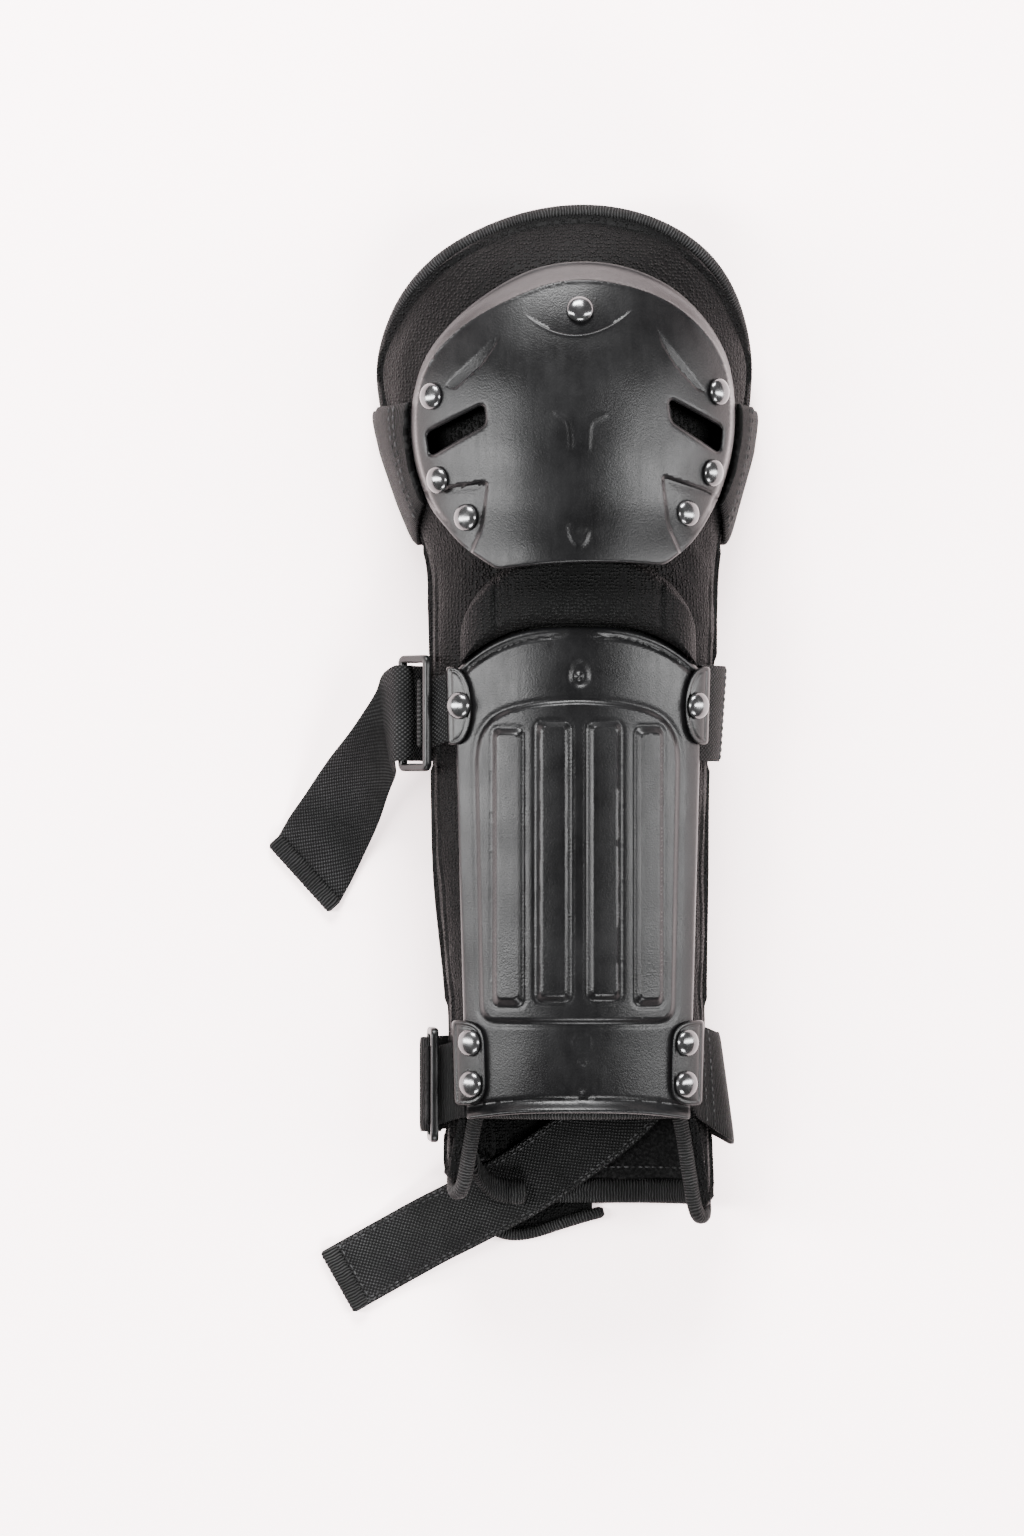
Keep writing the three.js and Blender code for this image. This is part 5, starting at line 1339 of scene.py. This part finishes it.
def spline(rows, step):
    """Rows of points joined smoothly through each column, at about even steps."""
    rows = np.asarray(rows, float)
    middle = rows[:, rows.shape[1] // 2]
    apart = np.linalg.norm(np.diff(middle, axis=0), axis=-1)
    knots = np.concatenate([[0], np.cumsum(np.sqrt(apart))])
    knots = np.concatenate([[-knots[1]], knots, [2 * knots[-1] - knots[-2]]])
    full = np.concatenate([[2 * rows[0] - rows[1]], rows, [2 * rows[-1] - rows[-2]]])
    out = []
    for i in range(len(rows) - 1):
        t0, t1, t2, t3 = knots[i : i + 4]
        p0, p1, p2, p3 = full[i : i + 4]
        for t in np.linspace(t1, t2, max(int(apart[i] / step), 2), endpoint=False):
            a1 = ((t1 - t) * p0 + (t - t0) * p1) / (t1 - t0)
            a2 = ((t2 - t) * p1 + (t - t1) * p2) / (t2 - t1)
            a3 = ((t3 - t) * p2 + (t - t2) * p3) / (t3 - t2)
            b1 = ((t2 - t) * a1 + (t - t0) * a2) / (t2 - t0)
            b2 = ((t3 - t) * a2 + (t - t1) * a3) / (t3 - t1)
            out.append(((t2 - t) * b1 + (t - t1) * b2) / (t2 - t1))
    out.append(rows[-1])
    return np.array(out)


def make_flap():
    """Flap and the rolled binding along its free edge."""
    flap = np.stack([
        FLAP_LINE[:, 0] * FOREARM_WIDTH,
        FLAP_TOP - FLAP_ROLL / 2 - FLAP_LINE[:, 1] * HEM_WIDTH,
        np.full(len(FLAP_LINE), FLAP_ROLL / 2 + GAP),
    ], -1)
    line = spline(flap[:, None], 0.5)[:, 0]
    ahead = np.gradient(line, axis=0)
    wide = unit(np.stack([ahead[:, 1], -ahead[:, 0], 0 * ahead[:, 0]], -1))
    high = np.tile((0.0, 0.0, 1.0), (len(line), 1))
    taper = end_taper(line, 2, 0.4) * ribs(line, 1.08, 0.03)
    points, faces, run = roll(line, wide, high, FLAP_ROLL, FLAP_ROLL, 14, False, 0.85, taper)
    piece("flap_binding", points, faces, BINDING_CLOTH, ["under_flap_binding"], run)

    edge = (line - wide * (FLAP_ROLL / 2 - SEWN_IN / 2))[8:-8]
    top_line = edge * (1, 0, 1) + np.array((0, FLAP_TOP, 0))
    keep = edge[:, 1] < FLAP_TOP - 0.4
    top_line = top_line + (0, SEWN_IN, 0)
    v = np.linspace(0, 1, 14)[None, :, None]
    sheet = edge[keep][:, None] * (1 - v) + top_line[keep][:, None] * v
    lift = np.array((0, 0, 1.0))
    base = sheet * (1, 1, 0) + lift * GAP
    puff = 0.85 + 0.15 * np.sin(math.pi * v) ** 0.5
    points, faces = wall(base + lift * FLAP_WALL * puff, base)
    under_flap = piece("flap", points, faces.tolist(), PAD_CLOTH, ["under_flap"])


make_flap()

# Flex pad between the cap and the shell

FLEX_WIDTH = 0.94 * SHELL_TOP_WIDTH
FLEX_LENGTH = 27
FLEX_SOLE = 1.6
FLEX_SHOULDER = 0.2


def flex_grid(lifted):
    across = np.sin(np.linspace(-math.pi / 2, math.pi / 2, 150))
    along = (1 - np.cos(np.linspace(0, math.pi, 70))) / 2
    across, along = np.meshgrid(across, along)
    x = across * FLEX_WIDTH / 2
    low = SHELL_TOP + arch(2 * x / SHELL_TOP_WIDTH, SHELL_TOP_ARCH) + EDGE_GAP
    high = SHELL_TOP + EDGE_GAP - 0.3 * SHELL_TOP_ARCH * across ** 2 + FLEX_LENGTH * np.sqrt(
        np.maximum(1 - np.abs(across) ** 2.4, 0))
    edge = np.minimum(np.minimum(1 - np.abs(across), along), 1 - along) / FLEX_SHOULDER
    crown = np.sqrt(1 - (1 - np.minimum(edge, 1)) ** 2)
    rise = FLEX_SOLE + (FLEX_PAD_RISE - FLEX_SOLE) * crown
    place = np.stack([x, lerp(low, high, along), 0 * x], -1)
    seam = bell(np.abs(across) - 0.7, 0.022) * smooth(edge, 0, 0.6)
    rise = rise - 0.7 * seam + 0.3 * crown * ripples(place, 22, 8)
    return facing(x, lerp(low, high, along), SEAT_GAP + (rise if lifted else 0 * rise))[0]


points, faces = wall(flex_grid(True), flex_grid(False))
flex_pad = piece("flex", points, faces.tolist(), PAD_CLOTH, ["flex_pad"])

# Straps

BAR_CLEAR = 0.71 * BUCKLE_BAR + GAP + STRAP_WALL / 2
STRAP_SEAT = SEAT_GAP + STRAP_WALL / 2
STRAP_BACK = GAP + STRAP_WALL / 2
FLOOR_SEAT = STRAP_WALL / 2
TUCK = 0.03
THREES = np.array([-1.0, 0.0, 1.0])
FOURS = np.array([-1.0, -0.35, 0.35, 1.0])


def shell_edge_angle(y, side):
    return facing(side * shell_half(y), y, SHELL_OUTER)[2]


def tab_edge_angle(y, side, overhang):
    return float(facing(side * (shell_half(y) + overhang), y, TAB_OUTER)[2])


def buckle_bars(y, edge, inner, outer):
    """The two long bars; each is degrees round from the tab's edge, and distance out."""
    return [outside(y, edge - math.radians(past), distance)[0]
            for past, distance in (inner, outer)]


def round_bar(bar, y, turned, extra=0):
    turned = math.radians(turned)
    reach = BAR_CLEAR + extra
    x = bar[0] + reach * math.cos(turned)
    return np.stack([0 * y + x, y, 0 * y + bar[2] + reach * math.sin(turned)], -1)


def make_strap(
    name, node, rows, finish, step=1.2, seams=(), columns=17, thicker=0.0, thread=1.0,
):
    """Band through rows of points. seams: ("along", share across) or ("across", length along);
    thicker: added outside; thread: size of its stitches."""
    rows = np.asarray(rows, float)
    given = THREES if rows.shape[1] == 3 else FOURS
    grid = spline(rows, step)
    share = np.sin(np.linspace(-math.pi / 2, math.pi / 2, columns))
    grid = np.stack([
        np.stack([np.interp(share, given, row[:, k]) for k in range(3)], -1) for row in grid
    ])
    grid[..., 2] = np.maximum(grid[..., 2], FLOOR_SEAT)
    normal = unit(np.cross(np.gradient(grid, axis=1), np.gradient(grid, axis=0)))
    away = grid - grid.reshape(-1, 3).mean(0)
    normal = normal if np.sum(normal * away) > 0 else -normal
    half = STRAP_WALL / 2 * (1 - 0.5 * np.abs(share) ** 16)
    out = normal * half[None, :, None]
    top = grid + out + normal * (thicker * (1 - np.abs(share) ** 12))[None, :, None]
    top[..., 2] = np.maximum(top[..., 2], 0)
    points, faces = wall(top, grid - out)
    along = lengths(grid[:, columns // 2])
    width = np.linalg.norm(grid[:, -1] - grid[:, 0], axis=-1).mean() / 2
    run = np.stack(np.broadcast_arrays(along[:, None], share[None] * width), -1).reshape(-1, 2)
    run = np.vstack([run, run])
    parts = []
    for kind, at in seams:
        for face in (1, -1):
            if kind == "along":
                j = int(np.argmin(np.abs(share - at)))
                line, up = (top if face > 0 else grid - out)[:, j], normal[:, j] * face
            else:
                i = int(np.argmin(np.abs(along - (at if at >= 0 else along[-1] + at))))
                line, up = (top if face > 0 else grid - out)[i, 1:-1], normal[i, 1:-1] * face
            size = {"length": 1.7 * thread, "width": 0.7 * thread, "height": 0.6 * thread}
            parts += stitch_line(line, up, 2.6 * thread, **size)
    band = len(faces)
    points, faces = with_stitches(points, faces, parts)
    run = np.vstack([run, np.zeros((len(points) - len(run), 2))])
    return piece(name, points, faces, finish, [node], run, sewn=band)


def make_buckle(name, node, bars, strap_width):
    inner, outer = bars
    slot = strap_width + 2 * BUCKLE_PLAY
    across = inner - outer
    span = np.linalg.norm(across)
    x_axis, y_axis = unit(across), np.array((0.0, 1.0, 0.0))
    half, tall = span / 2, slot / 2 + BUCKLE_BAR / 2
    flat = rounded([(-half, -tall), (half, -tall), (half, tall), (-half, tall)], 1.6, 9)
    middle = (inner + outer) / 2
    line = middle + flat[:, :1] * x_axis + flat[:, 1:] * y_axis
    up = np.tile(unit(np.cross(x_axis, y_axis)), (len(line), 1))
    wide = unit(np.cross(np.roll(line, -1, 0) - np.roll(line, 1, 0), up))
    points, faces, _ = roll(line, wide, up, BUCKLE_BAR, BUCKLE_BAR, 20, True, 0.6)
    piece(name, points, faces, TAB_PLASTIC, [node])


MID_Y = 0.004 * ELBOW_REACH
LOWER_Y = LOWER_PLATE_Y - LOWER_STRAP_WIDTH / 4
MID_BARS = buckle_bars(MID_Y, tab_edge_angle(MID_Y, -1, UPPER_OVERHANG), (9.6, 7.6), (26.6, 11.5))
LOWER_BARS = buckle_bars(
    LOWER_Y, tab_edge_angle(LOWER_Y, -1, LOWER_OVERHANG), (12.3, 7.6), (26.3, 6.4))
make_buckle("buckle_mid", "mid_buckle", MID_BARS, MID_STRAP_WIDTH)
make_buckle("buckle_lower", "lower_buckle", LOWER_BARS, LOWER_STRAP_WIDTH)


def loop_rows(bars, half, middle):
    y = middle + THREES * half
    start = shell_edge_angle(y, -1) - TUCK
    rows = [outside(y, start, np.array(STRAP_SEAT))[0],
            outside(y, start - TUCK, np.array(STRAP_SEAT))[0]]
    y = bars[0][1] + THREES * half
    return rows + [round_bar(bars[0], y, turn) for turn in (295, 265, 235, 205)]


MID_LOOP_HALF = 0.43 * UPPER_TAB_LENGTH
LOWER_LOOP_HALF = 0.46 * LOWER_PLATE_LENGTH
LOWER_LOOP_RAISE = 3
make_strap("loop_mid", "mid_tab_loop", loop_rows(MID_BARS, MID_LOOP_HALF, UPPER_TAB_Y), WEBBING, 0.5)
make_strap("loop_lower", "lower_tab_loop", loop_rows(
    LOWER_BARS, LOWER_LOOP_HALF, LOWER_Y + LOWER_LOOP_RAISE), ELASTIC, 0.5)

# Middle strap. turn: degrees round from the front; share: of the side bulge. Its free end, as
# shares: ahead, down, wide, lean, height; turn is the direction across it.
SIDE_TURN = 110
FLAT_TURN = 24
MID_BULGE = 2.6
MID_BESIDE = [(0, 0), (0.2, 0.55), (0.44, 1), (0.7, 1)]
MID_ROUND = [
    (SIDE_TURN, 0.6), (124, 0.2), (138, 0.1), (148, 0), (157, 0), (180, 0), (203, 0), (212, 0),
    (222, 0.1), (236, 0.2), (247, 0.4),
]
MID_TAIL = [
    (0.035, 0.04, 0.96, -84, 0, 0.9),
    (0.05, 0.11, 0.86, -76, 0.08, 0.76),
    (0.13, 0.26, 0.78, -62, 0.16, 0.56),
    (0.235, 0.44, 0.84, -50, 0.12, 0.3),
    (0.35, 0.64, 0.9, -46, 0.05, 0.115),
    (0.42, 0.76, 0.95, -47, 0.01, 0.05),
    (0.485, 0.875, 0.96, -48, 0, 0.035),
]


def strap_rest(turn):
    return STRAP_BACK if abs(turn - 180) < FLAT_TURN else STRAP_SEAT


def tail_row(row):
    ahead, down, wide, turn, lean, height = row
    bar = MID_BARS[1]
    centre = np.array([
        bar[0] - BAR_CLEAR - ahead * MID_TAIL_REACH,
        MID_Y - down * MID_TAIL_REACH,
        max(height * bar[2], FLOOR_SEAT + GAP),
    ])
    turn, half = math.radians(turn), wide * MID_STRAP_WIDTH / 2
    side = np.array([math.cos(turn) * half, math.sin(turn) * half, -lean * MID_STRAP_WIDTH])
    return centre - THREES[:, None] * side


def mid_rows():
    y = MID_Y + THREES * MID_STRAP_WIDTH / 2
    edge = math.degrees(tab_edge_angle(MID_Y, 1, UPPER_OVERHANG))
    turns = [(lerp(edge, SIDE_TURN, past), share) for past, share in MID_BESIDE] + MID_ROUND
    rows = [outside(y, shell_edge_angle(y, 1) + TUCK, np.array(STRAP_SEAT))[0]]
    for turn, share in turns:
        distance = np.array(strap_rest(turn) + MID_BULGE * share)
        rows.append(outside(y, np.full(3, math.radians(turn)), distance)[0])
    rows.append(round_bar(MID_BARS[1], y, -75, 1.2))
    rows += [round_bar(MID_BARS[1], y, turn) for turn in (-30, 0, 35, 70, 105, 140)]
    return rows + [tail_row(row) for row in MID_TAIL]


def make_end(name, node, last, previous):
    """Sewn fold across a free end."""
    across = last[-1] - last[0]
    ahead = last[1] - previous[1]
    high = unit(np.cross(across, ahead))
    high = high if high[2] > 0 else -high
    wide = unit(across)
    out = unit(np.cross(wide, high))
    out = out if out @ ahead > 0 else -out
    middle = (last[0] + last[-1]) / 2 + out * (GAP + STRAP_END_LENGTH - SEWN_IN) / 2
    middle = middle + high * max(0, (STRAP_END_THICKNESS - STRAP_WALL) / 2 - GAP / 2)
    half = np.linalg.norm(across) / 2
    line = middle + np.linspace(-half, half, 90)[:, None] * wide
    taper = end_taper(line, 1.2, 0.3) * ribs(line, 1.9, 0.035)
    frame_out, frame_up = np.tile(out, (90, 1)), np.tile(high, (90, 1))
    points, faces, run = roll(
        line, frame_out, frame_up, STRAP_END_LENGTH + GAP + SEWN_IN, STRAP_END_THICKNESS, 18, False,
        0.7, taper)
    piece(name, points, faces, BINDING_CLOTH, [node], run)


make_strap("strap_mid", "mid_strap", mid_rows(), WEBBING, seams=[("across", 15), ("across", 19)])
make_end("strap_mid_end", "mid_strap_end", tail_row(MID_TAIL[-1]), tail_row(MID_TAIL[-2]))

# Lower strap. past or turn, share of the bulge, shift and widening of its width
LOWER_BESIDE = [
    (0, 0, 0.17, 0.97), (0.19, 0.25, 0.1, 1.05), (0.43, 1, -0.02, 1.15), (0.74, 1, -0.06, 1.2),
]
LOWER_ROUND = [
    (SIDE_TURN, 0.6, -0.03, 1.1), (124, 0.2, 0, 1), (138, 0.05, 0, 1), (148, 0, 0, 1), (157, 0, 0, 1),
    (180, 0, 0, 1), (203, 0, 0, 1), (212, 0, 0, 1), (224, 0.05, 0, 1), (240, 0.2, 0, 1),
]
LOWER_BULGE = 5


def lower_rows():
    half = LOWER_STRAP_WIDTH / 2
    edge = math.degrees(tab_edge_angle(LOWER_Y, 1, LOWER_OVERHANG))
    turns = [(lerp(edge, SIDE_TURN, past), *rest) for past, *rest in LOWER_BESIDE] + LOWER_ROUND
    y = LOWER_Y + 0.24 * LOWER_STRAP_WIDTH + THREES * 0.88 * half
    rows = [outside(y, shell_edge_angle(y, 1) + TUCK, np.array(STRAP_SEAT))[0]]
    for turn, share, shift, widen in turns:
        y = LOWER_Y + shift * LOWER_STRAP_WIDTH + THREES * widen * half
        bulge = LOWER_BULGE * (1 - 0.3 * (y - LOWER_Y) / half) * share
        rows.append(outside(y, np.full(3, math.radians(turn)), strap_rest(turn) + bulge)[0])
    y = LOWER_Y + THREES * half
    return rows + [round_bar(LOWER_BARS[1], y, turn) for turn in range(215, -31, -35)]


make_strap("strap_lower", "lower_strap", lower_rows(), ELASTIC, seams=[("across", 9), ("across", 13)])

# Elbow strap, from beside the cap's rim round the pad's edges and across the back.
# kind, past or out, drop, raise, narrow
ELBOW_STRAP_Y = 0.48 * ELBOW_REACH
ELBOW_SIDE = [
    ("rim", 0, 0, 0.16, 0.74), ("between", 0, 0, 0.09, 0.86), ("edge", 0, 0, 0.02, 1),
    ("edge", 3.4, 0, 0, 1), ("edge", 6.6, 0, 0, 1), ("fall", 0.4, 0.45, 0, 1),
    ("fall", -0.6, 0.85, 0, 1), ("fall", -4, 1, 0, 1),
]


def cap_side(y, side):
    a, b = CAP_RIM, np.roll(CAP_RIM, -1, 0)
    hit = (a[:, 1] - y) * (b[:, 1] - y) <= 0
    a, b = a[hit], b[hit]
    rise = np.where(a[:, 1] == b[:, 1], 1, b[:, 1] - a[:, 1])
    return side * np.max(side * lerp(a[:, 0], b[:, 0], (y - a[:, 1]) / rise))


def elbow_point(kind, past, drop, y, side):
    edge, _, radius, *_ = section(y)
    if kind == "fall":
        top = elbow_point("edge", 6.6, 0, y, side)
        return np.array([top[0] + side * past, y, lerp(top[2], FLOOR_SEAT, drop)])
    if kind == "edge":
        return outside(y, side * (edge + past / radius), np.array(STRAP_SEAT))[0]
    start = abs(float(facing(cap_side(y, side) + side * RIM_GAP, y, STRAP_SEAT)[2]))
    if kind == "rim":
        return outside(y, side * start, np.array(STRAP_SEAT))[0]
    return outside(y, side * (start + edge) / 2, np.array(STRAP_SEAT + GAP))[0]


def elbow_row(row, side):
    kind, past, drop, raise_by, narrow = row
    middle = ELBOW_STRAP_Y + raise_by * ELBOW_STRAP_WIDTH
    return [elbow_point(kind, past, drop, middle + u * narrow * ELBOW_STRAP_WIDTH / 2, side)
            for u in FOURS]


rows = [elbow_row(row, 1) for row in ELBOW_SIDE] + [elbow_row(row, -1) for row in ELBOW_SIDE[::-1]]
make_strap("strap_elbow", "elbow_strap", rows, ELASTIC,
           seams=[("across", 6.5), ("across", 9.5), ("across", -6.5), ("across", -9.5)], columns=25,
           thicker=0.9, thread=1.25)

# Wrist strap, on the wrap inside the wrist opening and out over its hem. ahead, down: shares of
# its reach; rise: above the surface
WRIST_START = np.array([0.26 * FOREARM_WIDTH, -WRIST_REACH + 0.343 * WRIST_STRAP_REACH])
WRIST_STRAP = [
    (0, 0, 0.5), (0.1, 0.1, 0.5), (0.237, 0.204, 0.97), (0.344, 0.277, 1.03), (0.43, 0.325, 1.03),
    (0.517, 0.372, 0.84), (0.61, 0.42, 0.52), (0.72, 0.482, 0.2), (0.841, 0.55, 0.06),
]


def on_wrap(x, y):
    _, left, right, shift, _, _ = section(y)
    share = min(abs(x) / (left if x < shift else right), 1)
    angle = math.pi - math.copysign(math.asin(share ** (1 / BACK_SQUARE)), x)
    return outside(y, angle, np.array(-(WRAP_WALL + SEAT_GAP + STRAP_WALL)))[0][2]


def wrist_rows():
    table = np.array(WRIST_STRAP)
    height = table[:, 2] * (HEM_TOP + GAP + STRAP_WALL / 2)
    centre = np.stack([
        WRIST_START[0] - table[:, 0] * WRIST_STRAP_REACH,
        WRIST_START[1] - table[:, 1] * WRIST_STRAP_REACH,
        np.maximum(FLOOR_SEAT + GAP, height),
    ], -1)
    rows = []
    for i, place in enumerate(centre):
        ahead = centre[min(i + 1, len(centre) - 1)] - centre[max(i - 1, 0)]
        side = unit(np.array([-ahead[1], ahead[0], 0])) * WRIST_STRAP_WIDTH / 2
        row = place + THREES[:, None] * side
        for point in row:
            if point[1] > WRAP_END:
                point[2] = max(point[2], on_wrap(point[0], point[1]))
        rows.append(row)
    return rows


rows = wrist_rows()
make_strap("strap_wrist", "wrist_strap", rows, WEBBING, seams=[
    ("along", -0.9), ("along", -0.78), ("along", 0.78), ("along", 0.9), ("across", -2)])
make_end("strap_wrist_end", "wrist_strap_end", rows[-1], rows[-2])

# The picture: straight down through a long lens, the guard centred across
PHOTO_SCALE = 0.37
PICTURE_HEIGHT = 1536
GUARD_MIDDLE_X = 247
ORIGIN_X = 313
ORIGIN_Y = 715
LENS = 150
SENSOR = 36
LENS_HEIGHT = 0.04
TABLE_COLOUR = (0.97, 0.82, 0.82, 1)
TABLE_GLOW = (1, 0.84, 0.84, 1)
TABLE_GLOW_STRENGTH = 0.9
TABLE_HALF = 4
WORLD_COLOUR = (1, 0.97, 0.97, 1)
WORLD_STRENGTH = 0.08


def photo_camera():
    """Camera above the table that frames the guard as the photograph does."""
    data = bpy.data.cameras.new("camera")
    data.lens = LENS
    data.sensor_width = SENSOR
    distance = PICTURE_HEIGHT * PHOTO_SCALE * LENS / SENSOR * MM
    camera = bpy.data.objects.new("camera", data)
    camera.location = (
        (GUARD_MIDDLE_X - ORIGIN_X) * PHOTO_SCALE * MM,
        (ORIGIN_Y - PICTURE_HEIGHT / 2) * PHOTO_SCALE * MM,
        distance + LENS_HEIGHT,
    )
    data.clip_end = 20
    bpy.context.scene.collection.objects.link(camera)
    bpy.context.scene.camera = camera


photo_camera()


def area_light(name, place, aim, size, power):
    """Rectangular soft light at a place, pointed at another."""
    data = bpy.data.lights.new(name, "AREA")
    data.shape = "RECTANGLE"
    data.size, data.size_y = size
    data.energy = power
    light = bpy.data.objects.new(name, data)
    light.location = place
    light.rotation_mode = "QUATERNION"
    light.rotation_quaternion = (Vector(aim) - Vector(place)).to_track_quat("-Z", "Y")
    bpy.context.scene.collection.objects.link(light)


# name, place, aim, size in metres, power in watts
LIGHTS = [
    ("key", (-0.15, 1.35, 0.85), (0, 0, 0), (0.9, 0.45), 150),
    ("front", (0.15, -1.3, 0.9), (0, -0.1, 0), (0.8, 0.4), 60),
    ("left", (-1.2, 0, 0.8), (0, 0, 0), (0.3, 1.5), 92),
    ("right", (1.2, 0, 0.8), (0, 0, 0), (0.3, 1.5), 76),
]
for light in LIGHTS:
    area_light(*light)

world = bpy.data.worlds.new("world")
world.use_nodes = True
world.node_tree.nodes["Background"].inputs["Color"].default_value = WORLD_COLOUR
world.node_tree.nodes["Background"].inputs["Strength"].default_value = WORLD_STRENGTH
bpy.context.scene.world = world

floor_mesh = bpy.data.meshes.new("floor")
corners = [(x * TABLE_HALF, y * TABLE_HALF, 0) for x, y in ((-1, -1), (1, -1), (1, 1), (-1, 1))]
floor_mesh.from_pydata(corners, [], [(0, 1, 2, 3)])
floor = bpy.data.objects.new("floor", floor_mesh)
bpy.context.scene.collection.objects.link(floor)
floor_material = bpy.data.materials.new("table")
floor_material.use_nodes = True
shader = floor_material.node_tree.nodes["Principled BSDF"]
shader.inputs["Base Color"].default_value = TABLE_COLOUR
shader.inputs["Roughness"].default_value = 0.6
shader.inputs["Emission Color"].default_value = TABLE_GLOW
shader.inputs["Emission Strength"].default_value = TABLE_GLOW_STRENGTH
floor_mesh.materials.append(floor_material)
floor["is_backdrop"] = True

low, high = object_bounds()
{"cad": [list(cad_low), list(cad_high)], "visual": [list(low), list(high)]}
